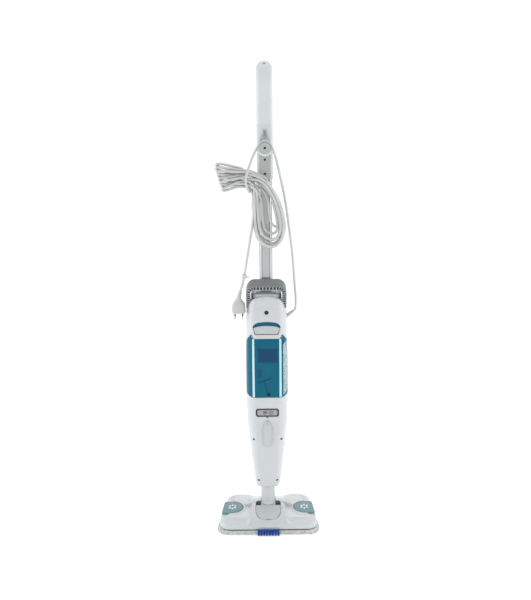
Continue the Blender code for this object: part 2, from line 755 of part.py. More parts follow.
def make_insides():
    half, bottom, top = WINDOW
    hole = [(-half + 0.003, bottom + 0.003), (half - 0.003, bottom + 0.003),
            (half - 0.003, top - 0.003), (-half + 0.003, top - 0.003)]
    outline = [(-half, bottom), (half, bottom), (half, top), (-half, top)]
    frame = front_plate("window_frame", outline, -0.0508, 0.0040, "dark_plastic", [hole])
    pane = front_plate("window_pane_cutter", outline, -0.0478, 0.0030, None)
    join(frame, pane)
    inside = [(x * 0.985, z) for x, z in hole]
    front_plate("window_lens", [(x, z + (0.0004 if z < 0.34 else -0.0004)) for x, z in inside],
                -0.0502, 0.0020, "smoked_clear")

    pump = rod("pump", (-0.020, 0.016, 0.4050), (-0.020, 0.016, 0.4650), 0.0140, "brass")
    join(pump, box("pump_coil_cutter", (-0.036, 0.0010, 0.4180), (-0.004, 0.0310, 0.4480), None))
    boiler = turned(
        "boiler",
        [(0.0, 0.2900), (0.018, 0.2880), (0.0235, 0.2820), (0.0235, 0.1980), (0.018, 0.1920), (0.0, 0.1900)],
        "cast_alloy", Matrix.Translation((0, 0.004, 0)),
    )
    element = rod("element_cutter", (-0.010, 0.004, 0.2850), (-0.010, 0.004, 0.2980), 0.0035, None,
                  sides=12)
    join(boiler, element)
    box("thermostat", (-0.008, 0.0278, 0.2250), (0.008, 0.0345, 0.2430), "dark_plastic", 0.001)
    box("circuit_board", (-0.030, 0.0200, 0.3080), (0.030, 0.0216, 0.3720), "board_green")

    tube("suction_hose", smooth_line(
        [(0.000, 0.0005, 0.3920), (0.000, 0.008, 0.3920), (-0.010, 0.0150, 0.3930), (-0.0195, 0.016, 0.3985),
         (-0.020, 0.016, 0.4045)], 0.006), 0.0030, "hose_silicone")
    tube("feed_hose", smooth_line(
        [(-0.020, 0.016, 0.4655), (-0.019, 0.016, 0.4740), (-0.004, 0.016, 0.4800), (0.008, 0.016, 0.4700),
         (0.012, 0.015, 0.4400), (0.013, 0.010, 0.3900), (0.012, 0.006, 0.3300), (0.010, 0.004, 0.2925)],
        0.009), 0.0030, "hose_silicone")
    tube("steam_hose", smooth_line(
        [(0.0, 0.004, 0.1895), (0.0, 0.004, 0.1780), (0.001, 0.002, 0.1560), (0.0, 0.0, 0.1420),
         (0.0, 0.0, 0.1300)], 0.008), 0.0040, "hose_silicone")

    relief = rod("strain_relief", (0.0380, 0.002, 0.5740), (0.0701, 0.002, 0.5982), 0.0058, "grey_plastic",
                 end_radius=0.0042, sides=16)
    flange = rod("relief_flange_cutter", (0.0380, 0.002, 0.5740), (0.0406, 0.002, 0.5759), 0.0095, None,
                 sides=16)
    join(relief, flange)


# ---------------------------------------------------------------- tank


def make_tank():
    wall = 0.0024
    levels = [0.3805, 0.4000, 0.4600, 0.5200, TANK_TOP]

    def ring(z, inset, scale=1.0, at=None):
        line = front_half(z, 0.0003 + inset, TANK_BACK - inset)
        return foot_row(line, scale, z if at is None else at, TANK_BACK - inset)

    outer = [ring(0.3805, 0.003, at=TANK_BOTTOM), ring(0.383, 0.0008)]
    outer += [ring(z, 0.0) for z in levels[1:]]
    inner = [ring(z, wall) for z in reversed(levels[1:])]
    inner.append(ring(0.3805, wall, at=TANK_BOTTOM + wall))
    body = rings_solid("tank_body", outer + inner, "teal_clear")
    cut(body, rod("nozzle_hole", (0, -0.020, 0.3920), (0, 0.0, 0.3920), 0.0043, None, sides=16))

    lid_z = 0.5330
    lid_line = front_outline(lid_z, wall + 0.0008, TANK_BACK - wall - 0.0005)
    lid = plate("tank_lid", lid_line, 0.0022, "teal_plastic", Matrix.Translation((0, 0, lid_z)))
    fill_x, fill_y = 0.0, -0.028
    cut(lid, rod("filler_hole", (fill_x, fill_y, 0.52), (fill_x, fill_y, 0.55), 0.0093, None))
    cap = turned(
        "filler_cap",
        [(0.0, 0.5372), (0.0118, 0.5372), (0.0122, 0.5366), (0.0122, 0.5346), (0.0088, 0.5346), (0.0088, 0.5280),
         (0.0, 0.5280)],
        "grey_plastic", Matrix.Translation((fill_x, fill_y, 0)),
    )
    join(cap, box("cap_bar_cutter", (fill_x - 0.009, fill_y - 0.0016, 0.5365),
                  (fill_x + 0.009, fill_y + 0.0016, 0.5400), None))
    joint_frame("filler_axis", (fill_x, fill_y, 0.5360), [cap])

    valve = box("outlet_valve", (-0.0050, -0.0340, TANK_BOTTOM + wall + GAP), (0.0050, -0.0124, 0.3975),
                "dark_plastic")
    join(
        valve,
        rod("nozzle_cutter", (0, -0.0130, 0.3920), (0, -0.0008, 0.3920), 0.0040, None, sides=16),
        rod("stem_cutter", (0.001, -0.030, 0.3960), (-0.005, -0.030, 0.4260), 0.0016, None, sides=10),
        rod("bar_cutter", (-0.022, -0.030, 0.4190), (0.012, -0.030, 0.4300), 0.0016, None, sides=10),
    )


def egg_outline():
    """Outline of the lever in (x, z): an egg with its narrow end at the top."""
    right = [(half, z) for z, half in LEVER_SHAPE]
    left = [(-half, z) for z, half in reversed(LEVER_SHAPE[1:-1])]
    return right + left


def make_lever():
    blank = front_plate("selector_lever", egg_outline(), LEVER_BASE_Y - 0.0035, 0.0035, "pale_grey_plastic")
    lever = bevel(blank, 0.001)
    shaft = rod("lever_shaft_cutter", (0, LEVER_BASE_Y - 0.001, LEVER_PIVOT_Z), (0, -0.036, LEVER_PIVOT_Z),
                0.0035, None, sides=16)
    join(lever, shaft)
    joint_frame("selector_axis", (0.0, LEVER_BASE_Y, LEVER_PIVOT_Z), [lever])


# ---------------------------------------------------------------- tube and handle


def loop_outline(inset, step_back):
    """Side outline of the handle; step_back leaves room for the front cover."""
    front = HANDLE_FRONT + step_back + inset
    cover_arc = LOOP_RADIUS - step_back - inset
    radius = LOOP_RADIUS - inset
    centre = (LOOP_Y, LOOP_Z)
    back = LOOP_Y + radius
    heel_low, heel_high = 1.030, 1.108
    column = HANDLE_BACK - inset
    heel = []
    for i in range(9):
        t = i / 8
        ease = t * t * (3 - 2 * t)
        heel.append((back + (column - back) * ease, heel_high + (heel_low - heel_high) * t))
    return [
        (front, HANDLE_BOTTOM),
        *arc(centre, cover_arc, 180, 96, 8),
        *arc(centre, radius, 94, 0, 9),
        *heel,
        (column, HANDLE_BOTTOM),
    ]


def gap_outline(inset):
    """Side outline of the finger gap, a slot with a round top and softened foot."""
    radius = GRIP_GAP_RADIUS + inset
    centre = (0.032, 1.160)
    low = (0.032, GRIP_GAP_BOTTOM + GRIP_GAP_RADIUS)
    return [*arc(centre, radius, 0, 180, 12), *arc(low, radius, 180, 360, 10)]


def handle_half(name, side, finish):
    outer = side_plate(name, loop_outline(0.0, COVER_DEPTH + GAP), HANDLE_HALF, finish, [gap_outline(0.0)])
    bevel(outer, 0.0045)
    hollow_line = loop_outline(HANDLE_WALL, COVER_DEPTH + GAP)
    hollow_line = [(y, z - 0.010 if z < HANDLE_BOTTOM + 0.001 else z) for y, z in hollow_line]
    hollow = side_plate(name + "_hollow", hollow_line, HANDLE_HALF - HANDLE_WALL, None,
                        [gap_outline(HANDLE_WALL)])
    edge = side * SPLIT_GAP
    half_away = box(name + "_half", (edge, -0.1, 0.9), (edge - side * 0.05, 0.2, 1.3), None)
    slot = box(name + "_slot", (-0.0068, 0.0440, 1.1020), (0.0068, 0.0560, 1.1600), None)
    return cut(outer, hollow, half_away, slot)


def make_handle():
    tube_piece = tube_bar("handle_tube", 0.0, TUBE_BOTTOM, TUBE_TOP, "aluminium")
    bore = plate("tube_bore", [(x * 0.90, (y - TUBE_Y) * 0.86 + TUBE_Y) for x, y in tube_outline(0.0)],
                 TUBE_TOP - TUBE_BOTTOM + 2 * OVERRUN, None,
                 Matrix.Translation((0, 0, (TUBE_TOP + TUBE_BOTTOM) / 2)))
    cut(tube_piece, bore)

    centre = (LOOP_Y, LOOP_Z)
    cover_line = [
        (HANDLE_FRONT, HANDLE_BOTTOM),
        *arc(centre, LOOP_RADIUS, 180, 96, 10),
        *arc(centre, LOOP_RADIUS - COVER_DEPTH, 96, 180, 10),
        (HANDLE_FRONT + COVER_DEPTH, HANDLE_BOTTOM),
    ]
    cover = bevel(side_plate("handle_front_cover", cover_line, HANDLE_HALF, "white_plastic"), 0.0035)
    for z in (*HANDLE_SCREWS, HOOK_Z):
        radius = 0.0030 if z == HOOK_Z else 0.0028
        cut(cover, screw_hole(0.0, HANDLE_FRONT, z, radius))
    for i, z in enumerate(HANDLE_SCREWS):
        screw(f"handle_screw_{i + 2}", 0.0, HANDLE_FRONT + 0.0012, z, length=0.0080)
    lean = math.radians(122)
    out = Vector((0.0, math.cos(lean), math.sin(lean)))
    middle = Vector((0.0, *centre))
    cut(cover, rod("top_screw_hole", middle + out * 0.036, middle + out * 0.055, 0.0028, None, sides=16))
    top = rod("handle_screw_1", middle + out * 0.0410, middle + out * 0.0478, 0.0014, "dark_plastic",
              sides=12)
    join(top, rod("top_head_cutter", middle + out * 0.0455, middle + out * 0.0480, 0.0024, None, sides=16))

    handle_half("handle_left_shell", -1, "grip_plastic")
    handle_half("handle_right_shell", 1, "grip_plastic")

    hook = turned(
        "cord_hook",
        [(0.0, 0.0170), (0.0045, 0.0170), (HOOK_CAP - 0.0015, 0.0165), (HOOK_CAP, 0.0150), (HOOK_CAP, 0.0132),
         (HOOK_STEM, 0.0125), (HOOK_STEM, 0.0003), (0.0, 0.0003)],
        "white_plastic",
        Matrix.Translation((0, HANDLE_FRONT, HOOK_Z)) @ Matrix.Rotation(math.radians(90), 4, "X"),
    )
    cut(hook, screw_hole(0.0, HANDLE_FRONT - 0.02, HOOK_Z, 0.0030, length=0.03))
    screw("hook_screw", 0.0, HANDLE_FRONT - 0.0165, HOOK_Z, radius=0.0026, length=0.0240)

    trigger_line = [
        (0.0555, 1.1560), (0.0480, 1.1540), (0.0445, 1.1440), (0.0430, 1.1250), (0.0445, 1.1100),
        (0.0500, 1.1045), (0.0545, 1.1060), (0.0560, 1.1200), (0.0600, 1.1300), (0.0605, 1.1530),
    ]
    trigger = bevel(side_plate("steam_trigger", trigger_line, 0.0060, "grey_plastic"), 0.0010)
    joint_frame("trigger_axis", TRIGGER_PIVOT, [trigger])
    box("microswitch", (-0.004, 0.0695, 1.1080), (0.004, 0.0755, 1.1240), "dark_plastic")
    helix = spring_points(0.0, 0.0, 0.0, 0.0070, 0.0032, 3)
    tube("trigger_spring", [(x, 0.0612 + z, 1.1400 + y) for x, y, z in helix], 0.0005, "steel")


# ---------------------------------------------------------------- cord


def make_cord():
    tube("cord_riser", smooth_line(RISER_ROUTE, 0.0085), CORD_RADIUS, "cord_pvc")
    rim = smooth_line([(*point, 0.0) for point in HANK_OUTLINE], 0.011, closed=True)
    outline = [(point.x, point.y) for point in rim]
    front_plate("cord_hank", outline, HANK_FRONT, HANK_DEPTH, "cord_pvc")
    tube("cord_tail", smooth_line(TAIL_ROUTE, 0.011), CORD_RADIUS, "cord_pvc")

    ring_at = Vector((-0.0545, -0.0331, 0.6985))
    along = Vector((0.0037, -0.0013, 0.0200)).normalized()
    clip = rod("cord_clip", ring_at - along * 0.0055, ring_at + along * 0.0055, 0.0056, "cord_pvc",
               sides=16)
    tab = box("clip_tab_cutter", ring_at + Vector((0.003, -0.003, -0.0035)),
              ring_at + Vector((0.0125, 0.003, -0.0005)), None)
    bore = rod("clip_bore", ring_at - along * 0.02, ring_at + along * 0.02, CORD_RADIUS + 0.0010, None,
               sides=16)
    cut(join(clip, tab), bore)

    narrow, wide = 0.0095, 0.0130
    cap = 0.0175

    def contour(z, half_width, half_depth):
        """A rounded hexagon, the plan of a flat mains plug."""
        points = [(1.0, 0.25), (0.55, 0.95), (0.0, 1.0), (-0.55, 0.95), (-1.0, 0.25),
                  (-1.0, -0.25), (-0.55, -0.95), (0.0, -1.0), (0.55, -0.95), (1.0, -0.25)]
        return [(PLUG_X + x * half_width, PLUG_Y + y * half_depth, z) for x, y in points]

    lean = 0.0055
    rings = [
        contour(PLUG_BOTTOM, cap - 0.001, wide - 0.001), contour(PLUG_BOTTOM + 0.002, cap, wide),
        contour(0.6240, cap - 0.0010, wide - 0.001), contour(0.6330, 0.0110, narrow),
        contour(PLUG_TOP, 0.0070, 0.0065),
        [(x + lean, y, z) for x, y, z in contour(PLUG_CONE_TOP, 0.0034, 0.0034)],
    ]
    rings_solid("plug_body", rings, "cord_pvc")
    for side, word in ((-1, "left"), (1, "right")):
        x = PLUG_X + side * PIN_SPACING / 2
        rod(f"plug_pin_{word}", (x, PLUG_Y, PLUG_BOTTOM - GAP),
            (x, PLUG_Y, PLUG_BOTTOM - GAP - PIN_LENGTH), 0.0020,
            "steel", sides=12)


make_head()
make_neck()
make_shells()
make_arch()
make_insides()
make_tank()
make_lever()
make_handle()
make_cord()
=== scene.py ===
import json
import math

import bmesh
import bpy
import numpy as np
from mathutils import Matrix, Vector
from mathutils.geometry import interpolate_bezier


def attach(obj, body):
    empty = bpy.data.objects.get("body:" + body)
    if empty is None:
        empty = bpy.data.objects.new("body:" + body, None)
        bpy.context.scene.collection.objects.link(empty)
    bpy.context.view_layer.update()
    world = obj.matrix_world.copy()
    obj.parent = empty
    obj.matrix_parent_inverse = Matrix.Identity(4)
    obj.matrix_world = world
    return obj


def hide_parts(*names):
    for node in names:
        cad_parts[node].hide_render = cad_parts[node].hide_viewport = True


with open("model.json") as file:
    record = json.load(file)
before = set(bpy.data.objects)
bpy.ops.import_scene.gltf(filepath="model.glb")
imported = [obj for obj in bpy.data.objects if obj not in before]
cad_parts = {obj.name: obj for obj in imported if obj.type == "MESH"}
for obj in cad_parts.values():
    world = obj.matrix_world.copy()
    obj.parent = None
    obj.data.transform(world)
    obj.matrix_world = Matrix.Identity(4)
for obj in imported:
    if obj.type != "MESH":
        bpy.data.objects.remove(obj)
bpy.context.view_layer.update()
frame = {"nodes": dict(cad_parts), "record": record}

RECORD_SLOT = {row["node"]: row["material_slot"] for row in frame["record"]["subparts"]}

# ---------------------------------------------------------------- camera, floor and light

CAMERA_AT = (-0.002, -1.748, 1.096)
CAMERA_PITCH = 75.0
CAMERA_ROLL = -0.58
CAMERA_LENS = 42.42


def make_camera():
    data = bpy.data.cameras.new("camera")
    data.lens = CAMERA_LENS
    data.sensor_width = 36.0
    data.clip_start = 0.05
    data.clip_end = 60.0
    camera = new_object("camera", data)
    turn = Matrix.Rotation(math.radians(CAMERA_PITCH), 4, "X") @ Matrix.Rotation(math.radians(CAMERA_ROLL), 4,
                                                                                 "Z")
    camera.matrix_world = Matrix.Translation(CAMERA_AT) @ turn
    bpy.context.scene.camera = camera


def make_area(name, at, target, size, power):
    data = bpy.data.lights.new(name, "AREA")
    data.shape = "RECTANGLE"
    data.size, data.size_y = size
    data.energy = power
    light = new_object(name, data)
    look = (Vector(target) - Vector(at)).to_track_quat("-Z", "Y")
    light.matrix_world = Matrix.Translation(at) @ look.to_matrix().to_4x4()


def make_studio():
    """A white sky that is brightest at the horizon, a pale floor and four soft boxes."""
    world = bpy.data.worlds.new("studio")
    bpy.context.scene.world = world
    world.use_nodes = True
    nodes, links = world.node_tree.nodes, world.node_tree.links
    background = nodes["Background"]
    coords = nodes.new("ShaderNodeTexCoord")
    split = nodes.new("ShaderNodeSeparateXYZ")
    ramp = nodes.new("ShaderNodeValToRGB")
    ramp.color_ramp.elements[0].position = 0.25
    ramp.color_ramp.elements[0].color = (1.0, 1.0, 1.0, 1.0)
    ramp.color_ramp.elements[1].position = 0.62
    ramp.color_ramp.elements[1].color = (0.80, 0.81, 0.82, 1.0)
    links.new(coords.outputs["Generated"], split.inputs["Vector"])
    links.new(split.outputs["Z"], ramp.inputs["Fac"])
    links.new(ramp.outputs["Color"], background.inputs["Color"])
    background.inputs["Strength"].default_value = 1.02

    bpy.ops.mesh.primitive_plane_add(size=60.0, location=(0, 0, -0.0002))
    floor = bpy.context.object
    floor.name = "floor"
    paint = bpy.data.materials.new("floor")
    paint.use_nodes = True
    shader = paint.node_tree.nodes["Principled BSDF"]
    shader.inputs["Base Color"].default_value = (0.93, 0.93, 0.93, 1.0)
    shader.inputs["Roughness"].default_value = 0.8
    shader.inputs["Specular IOR Level"].default_value = 0.2
    shader.inputs["Emission Color"].default_value = (1.0, 1.0, 1.0, 1.0)
    shader.inputs["Emission Strength"].default_value = 0.24
    floor.data.materials.append(paint)

    middle = (0, 0, 0.62)
    make_area("left_box", (-2.1, -0.15, 0.95), middle, (0.9, 2.0), 13.0)
    make_area("right_box", (2.1, -0.15, 0.95), middle, (0.9, 2.0), 12.0)
    make_area("top_box", (0.0, 0.3, 2.9), middle, (1.6, 1.2), 5.0)
    make_area("rear_box", (0.3, 2.2, 1.4), middle, (1.4, 1.4), 6.0)
    bpy.context.scene.view_settings.view_transform = "Standard"


# ---------------------------------------------------------------- materials

FINISHES = {}


def node_of(tree, kind, **values):
    made = tree.nodes.new(kind)
    for key, value in values.items():
        if key in made.inputs:
            made.inputs[key].default_value = value
        else:
            setattr(made, key, value)
    return made


def finish(name, light, dark, rough, spread=0.05, cloud=14.0, grain=900.0, bump=0.04, depth=0.0002,
           stretch=(1, 1, 1), pattern="noise", **sockets):
    """One procedural finish: a cloudy two-tone colour, uneven gloss and a fine surface grain."""
    made = bpy.data.materials.new(name)
    made.use_nodes = True
    tree = made.node_tree
    link = tree.links.new
    shader = tree.nodes["Principled BSDF"]
    coords = node_of(tree, "ShaderNodeTexCoord")
    cloudy = node_of(tree, "ShaderNodeTexNoise", Scale=cloud, Detail=4.0)
    tone = node_of(tree, "ShaderNodeValToRGB")
    tone.color_ramp.elements[0].position = 0.3
    tone.color_ramp.elements[0].color = (*dark, 1.0)
    tone.color_ramp.elements[1].position = 0.7
    tone.color_ramp.elements[1].color = (*light, 1.0)
    mapping = node_of(tree, "ShaderNodeMapping", Scale=stretch)
    fine = node_of(tree, "ShaderNodeTexVoronoi" if pattern == "pebble" else "ShaderNodeTexNoise", Scale=grain)
    if pattern == "noise":
        fine.inputs["Detail"].default_value = 3.0
    ranges = node_of(tree, "ShaderNodeMapRange")
    ranges.inputs["To Min"].default_value = rough - spread
    ranges.inputs["To Max"].default_value = rough + spread
    relief = node_of(tree, "ShaderNodeBump", Strength=bump, Distance=depth)
    link(coords.outputs["Object"], cloudy.inputs["Vector"])
    link(coords.outputs["Object"], mapping.inputs["Vector"])
    link(mapping.outputs["Vector"], fine.inputs["Vector"])
    link(cloudy.outputs["Fac"], tone.inputs["Fac"])
    link(tone.outputs["Color"], shader.inputs["Base Color"])
    grain_out = fine.outputs["Distance"] if pattern == "pebble" else fine.outputs["Fac"]
    link(grain_out, ranges.inputs["Value"])
    link(ranges.outputs["Result"], shader.inputs["Roughness"])
    link(grain_out, relief.inputs["Height"])
    link(relief.outputs["Normal"], shader.inputs["Normal"])
    for key, value in sockets.items():
        shader.inputs[key.replace("_", " ")].default_value = value
    FINISHES[name] = made
    return made


def make_finishes():
    finish("white_plastic", (0.585, 0.608, 0.613), (0.560, 0.583, 0.590), 0.30, 0.04, bump=0.02,
           Coat_Weight=0.2,
           Coat_Roughness=0.12)
    finish("grip_plastic", (0.625, 0.652, 0.665), (0.595, 0.622, 0.638), 0.48, 0.06, grain=1500.0, bump=0.25,
           pattern="pebble")
    finish("pale_grey_plastic", (0.505, 0.545, 0.555), (0.480, 0.520, 0.530), 0.38, 0.05, bump=0.03)
    finish("grey_plastic", (0.195, 0.207, 0.208), (0.178, 0.190, 0.191), 0.42, 0.05, bump=0.05)
    finish("teal_clear", (0.009, 0.137, 0.212), (0.007, 0.121, 0.192), 0.22, 0.02, grain=120.0, bump=0.02,
           Transmission_Weight=0.08, IOR=1.46, Specular_IOR_Level=0.07)
    finish("teal_plastic", (0.014, 0.165, 0.275), (0.012, 0.148, 0.250), 0.30, 0.04, Specular_IOR_Level=0.2)
    finish("pedal_teal", (0.155, 0.275, 0.305), (0.142, 0.255, 0.285), 0.42, 0.05, bump=0.05)
    finish("dark_plastic", (0.030, 0.033, 0.036), (0.022, 0.024, 0.027), 0.45, 0.07, bump=0.06)
    finish("smoked_clear", (0.34, 0.345, 0.345), (0.30, 0.305, 0.305), 0.12, 0.03, Coat_Weight=0.5,
           Coat_Roughness=0.05)
    finish("aluminium", (0.490, 0.506, 0.506), (0.440, 0.455, 0.455), 0.34, 0.06, cloud=5.0, grain=700.0,
           bump=0.05, stretch=(1, 1, 0.02), Metallic=0.75, Anisotropic=0.4)
    finish("steel", (0.50, 0.505, 0.51), (0.42, 0.425, 0.43), 0.26, 0.06, grain=900.0, stretch=(1, 1, 0.1),
           Metallic=1.0)
    finish("brass", (0.66, 0.50, 0.24), (0.55, 0.41, 0.19), 0.30, 0.06, Metallic=1.0)
    finish("cast_alloy", (0.50, 0.50, 0.51), (0.40, 0.40, 0.41), 0.52, 0.08, grain=500.0, bump=0.4,
           Metallic=1.0)
    finish("hose_silicone", (0.72, 0.71, 0.67), (0.66, 0.65, 0.61), 0.45, 0.05)
    finish("board_green", (0.03, 0.20, 0.09), (0.02, 0.15, 0.07), 0.40, 0.06, cloud=160.0)
    finish("terry", (0.86, 0.87, 0.87), (0.50, 0.51, 0.515), 0.92, 0.04, cloud=240.0, grain=650.0, bump=0.9,
           depth=0.0014, Sheen_Weight=0.3, Sheen_Roughness=0.5)
    finish("bristle_blue", (0.012, 0.105, 0.50), (0.004, 0.022, 0.17), 0.48, 0.06, cloud=420.0, grain=700.0,
           bump=0.4, stretch=(1, 1, 0.08))
    finish("cord_pvc", (0.575, 0.58, 0.575), (0.515, 0.52, 0.515), 0.42, 0.05, cloud=30.0, bump=0.05)
    # near white for the printed marks on the pedals and for a painted highlight under the cord hook
    finish("white_print_and_highlight", (0.80, 0.84, 0.84), (0.74, 0.78, 0.78), 0.5, 0.05)
    finish("dark_mark", (0.05, 0.052, 0.055), (0.035, 0.037, 0.04), 0.5, 0.05)
    finish("label_blue", (0.008, 0.062, 0.135), (0.007, 0.052, 0.118), 0.35, 0.05, Specular_IOR_Level=0.15)
    finish("label_soft", (0.009, 0.080, 0.150), (0.008, 0.072, 0.138), 0.35, 0.05, Specular_IOR_Level=0.15)
    finish("label_deep", (0.004, 0.026, 0.060), (0.003, 0.020, 0.050), 0.40, 0.05, Specular_IOR_Level=0.15)
    # painted highlight: pale cyan for the strips along the tank's front creases
    finish("painted_highlight_cyan", (0.52, 0.74, 0.80), (0.46, 0.69, 0.76), 0.16, 0.03, Specular_IOR_Level=0.3)
    finish("lever_grey", (0.53, 0.56, 0.575), (0.50, 0.53, 0.545), 0.42, 0.05)
    finish("sticker", (0.60, 0.65, 0.665), (0.055, 0.17, 0.20), 0.45, 0.05, cloud=260.0)
    finish("cover_shade", (0.440, 0.465, 0.458), (0.405, 0.430, 0.423), 0.34, 0.05, bump=0.03)
    # tube_painted_highlight and tube_painted_shade are a painted highlight and painted shade on the tube's
    # sides
    finish("tube_painted_highlight", (0.80, 0.81, 0.81), (0.76, 0.77, 0.77), 0.28, 0.04)
    finish("tube_painted_shade", (0.30, 0.31, 0.31), (0.27, 0.28, 0.28), 0.60, 0.05, Specular_IOR_Level=0.1)


# ---------------------------------------------------------------- mesh tools

WELD = 1e-6

def new_object(name, data):
    made = bpy.data.objects.new(name, data)
    bpy.context.scene.collection.objects.link(made)
    return made


def from_faces(name, points, faces, weld=True):
    """An object from points and faces. weld joins what meets and turns every face outwards."""
    mesh = bpy.data.meshes.new(name)
    mesh.from_pydata(points, [], faces)
    if weld:
        tidy(mesh)
    return new_object(name, mesh)


def tidy(mesh):
    """Weld what meets and turn every face outwards."""
    work = bmesh.new()
    work.from_mesh(mesh)
    bmesh.ops.remove_doubles(work, verts=work.verts, dist=WELD)
    bmesh.ops.recalc_face_normals(work, faces=work.faces)
    work.to_mesh(mesh)
    work.free()


def loft(name, rings, closed=True, caps=True):
    """A skin through equal rows of points. caps closes its two ends."""
    count = len(rings[0])
    points = [tuple(p) for ring in rings for p in ring]
    faces = []
    for i in range(len(rings) - 1):
        for j in range(count if closed else count - 1):
            k = (j + 1) % count
            faces.append((i * count + j, i * count + k, (i + 1) * count + k, (i + 1) * count + j))
    if caps:
        faces.append(tuple(reversed(range(count))))
        faces.append(tuple(range((len(rings) - 1) * count, len(rings) * count)))
    return from_faces(name, points, faces)


def bake(thing):
    """Replace the mesh by what its modifiers make of it."""
    graph = bpy.context.evaluated_depsgraph_get()
    final = bpy.data.meshes.new_from_object(thing.evaluated_get(graph))
    thing.modifiers.clear()
    thing.data = final
    return thing


def cut(thing, *cutters, operation="DIFFERENCE"):
    for cutter in cutters:
        step = thing.modifiers.new("cut", "BOOLEAN")
        step.operation = operation
        step.solver = "EXACT"
        step.object = cutter
    bake(thing)
    for cutter in cutters:
        bpy.data.objects.remove(cutter)
    return thing


def rounded(thing, width, segments=2, angle=38):
    step = thing.modifiers.new("rounded", "BEVEL")
    step.width = width
    step.segments = segments
    step.limit_method = "ANGLE"
    step.angle_limit = math.radians(angle)
    step.use_clamp_overlap = True
    return bake(thing)


def settle(thing, body, slot_name, nodes=(), sharp=34, paint=None):
    """Give a finished mesh its finish and its body, and hide the CAD nodes that it stands for."""
    if thing.type == "MESH":
        thing.data.materials.clear()
        for polygon in thing.data.polygons:
            polygon.use_smooth = True
        thing.data.set_sharp_from_angle(angle=math.radians(sharp))
    thing.data.materials.append(FINISHES[paint or slot_name])
    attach(thing, body)
    if nodes:
        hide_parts(*nodes)
    return thing


def clamp(t):
    return min(1.0, max(0.0, t))


def ease(t):
    """A soft step from 0 to 1."""
    t = clamp(t)
    return t * t * (3 - 2 * t)


def box(left, right, low, high):
    """A rectangle's outline."""
    return [(left, low), (right, low), (right, high), (left, high)]


def mirrored(points):
    """The same line on the other side of X = 0, in reverse order."""
    return [(-x, y) for x, y in reversed(points)]


def paint_faces(thing, paints, choose):
    """Further finishes on one mesh. choose gives each face its place in the list; 0 is the first finish."""
    for name in paints:
        thing.data.materials.append(FINISHES[name])
    for face in thing.data.polygons:
        face.material_index = choose(face)


def along_y(outline, y):
    return [(x, y, z) for x, z in outline]


def along_z(outline, z):
    return [(x, y, z) for x, y in outline]


def along_x(outline, x):
    return [(x, y, z) for y, z in outline]


def grown(outline, distance):
    """A closed outline moved outwards by a distance, whichever way it runs."""
    points = np.array(outline, float)
    before, after = np.roll(points, 1, 0), np.roll(points, -1, 0)
    way = after - before
    normal = np.stack([way[:, 1], -way[:, 0]], 1)
    normal /= np.maximum(np.linalg.norm(normal, axis=1)[:, None], 1e-9)
    area = np.sum(points[:, 0] * after[:, 1] - after[:, 0] * points[:, 1])
    return [tuple(p) for p in points + normal * distance * (1 if area > 0 else -1)]


def slab(name, outline, place, low, high, edge=0.0006, steps=3):
    """A plate between two levels whose rim is rounded. place puts an outline at a level."""
    turn = edge if high > low else -edge
    angles = [math.pi / 2 * i / steps for i in range(steps + 1)]
    rows = [place(grown(outline, -edge * (1 - math.sin(a))), low + turn * (1 - math.cos(a))) for a in angles]
    rows += [place(grown(outline, -edge * (1 - math.cos(a))),
                   high - turn * (1 - math.sin(a))) for a in angles]
    return loft(name, rows)


def arc(centre, radius, start, end, steps):
    return [
        (centre[0] + radius * math.cos(math.radians(start + (end - start) * i / steps)),
         centre[1] + radius * math.sin(math.radians(start + (end - start) * i / steps)))
        for i in range(steps + 1)
    ]


def round_corners(points, radius, steps=5):
    """A closed outline with its corners rounded; radius may be one number or one for each corner."""
    made = []
    count = len(points)
    for i, point in enumerate(points):
        here = Vector(point)
        back, ahead = Vector(points[i - 1]) - here, Vector(points[(i + 1) % count]) - here
        size = radius[i] if isinstance(radius, (list, tuple)) else radius
        if size == 0:
            made.append(tuple(here))
            continue
        reach = min(size, back.length * 0.48, ahead.length * 0.48)
        start, end = here + back.normalized() * reach, here + ahead.normalized() * reach
        for j in range(steps + 1):
            t = j / steps
            spot = start * (1 - t) ** 2 + here * 2 * t * (1 - t) + end * t * t
            made.append(tuple(spot))
    return made


def turn_to(axis):
    return Vector((0, 0, 1)).rotation_difference(Vector(axis)).to_matrix()


def turned(name, profile, at=(0, 0, 0), axis=(0, 0, 1), sides=40):
    """A turned piece from (radius, height) pairs along an axis."""
    turn = turn_to(axis)
    rings = []
    for radius, height in profile:
        ring = []
        for i in range(sides):
            a = 2 * math.pi * i / sides
            spot = turn @ Vector((max(radius, 1e-5) * math.cos(a), max(radius, 1e-5) * math.sin(a), height))
            ring.append(tuple(spot + Vector(at)))
        rings.append(ring)
    return loft(name, rings)


def distances(points):
    """How far along the line each point lies."""
    return np.r_[0, np.cumsum(np.linalg.norm(np.diff(np.array(points), axis=0), axis=1))]


def smooth_path(points, step):
    """Evenly spaced points on a smooth curve through the given ones."""
    p = np.array(points, float)
    p = np.vstack([2 * p[0] - p[1], p, 2 * p[-1] - p[-2]])
    fine = []
    for i in range(1, len(p) - 2):
        a, b, c, d = p[i - 1], p[i], p[i + 1], p[i + 2]
        for t in np.linspace(0, 1, 12, endpoint=False):
            fine.append(0.5 * (2 * b + (c - a) * t + (2 * a - 5 * b + 4 * c - d) * t * t
                               + (3 * b - a - 3 * c + d) * t ** 3))
    fine.append(p[-2])
    fine = np.array(fine)
    gone = distances(fine)
    count = max(2, int(round(gone[-1] / step)) + 1)
    at = np.linspace(0, gone[-1], count)
    return np.stack([np.interp(at, gone, fine[:, k]) for k in range(fine.shape[1])], 1)


def pipe(name, points, radius, sides):
    """A round lead as a curve object with closed ends."""
    data = bpy.data.curves.new(name, "CURVE")
    data.dimensions = "3D"
    data.bevel_depth = radius
    data.bevel_resolution = sides // 2
    data.use_fill_caps = True
    line = data.splines.new("POLY")
    line.points.add(len(points) - 1)
    for spot, point in zip(line.points, points):
        spot.co = (*point, 1.0)
    return new_object(name, data)


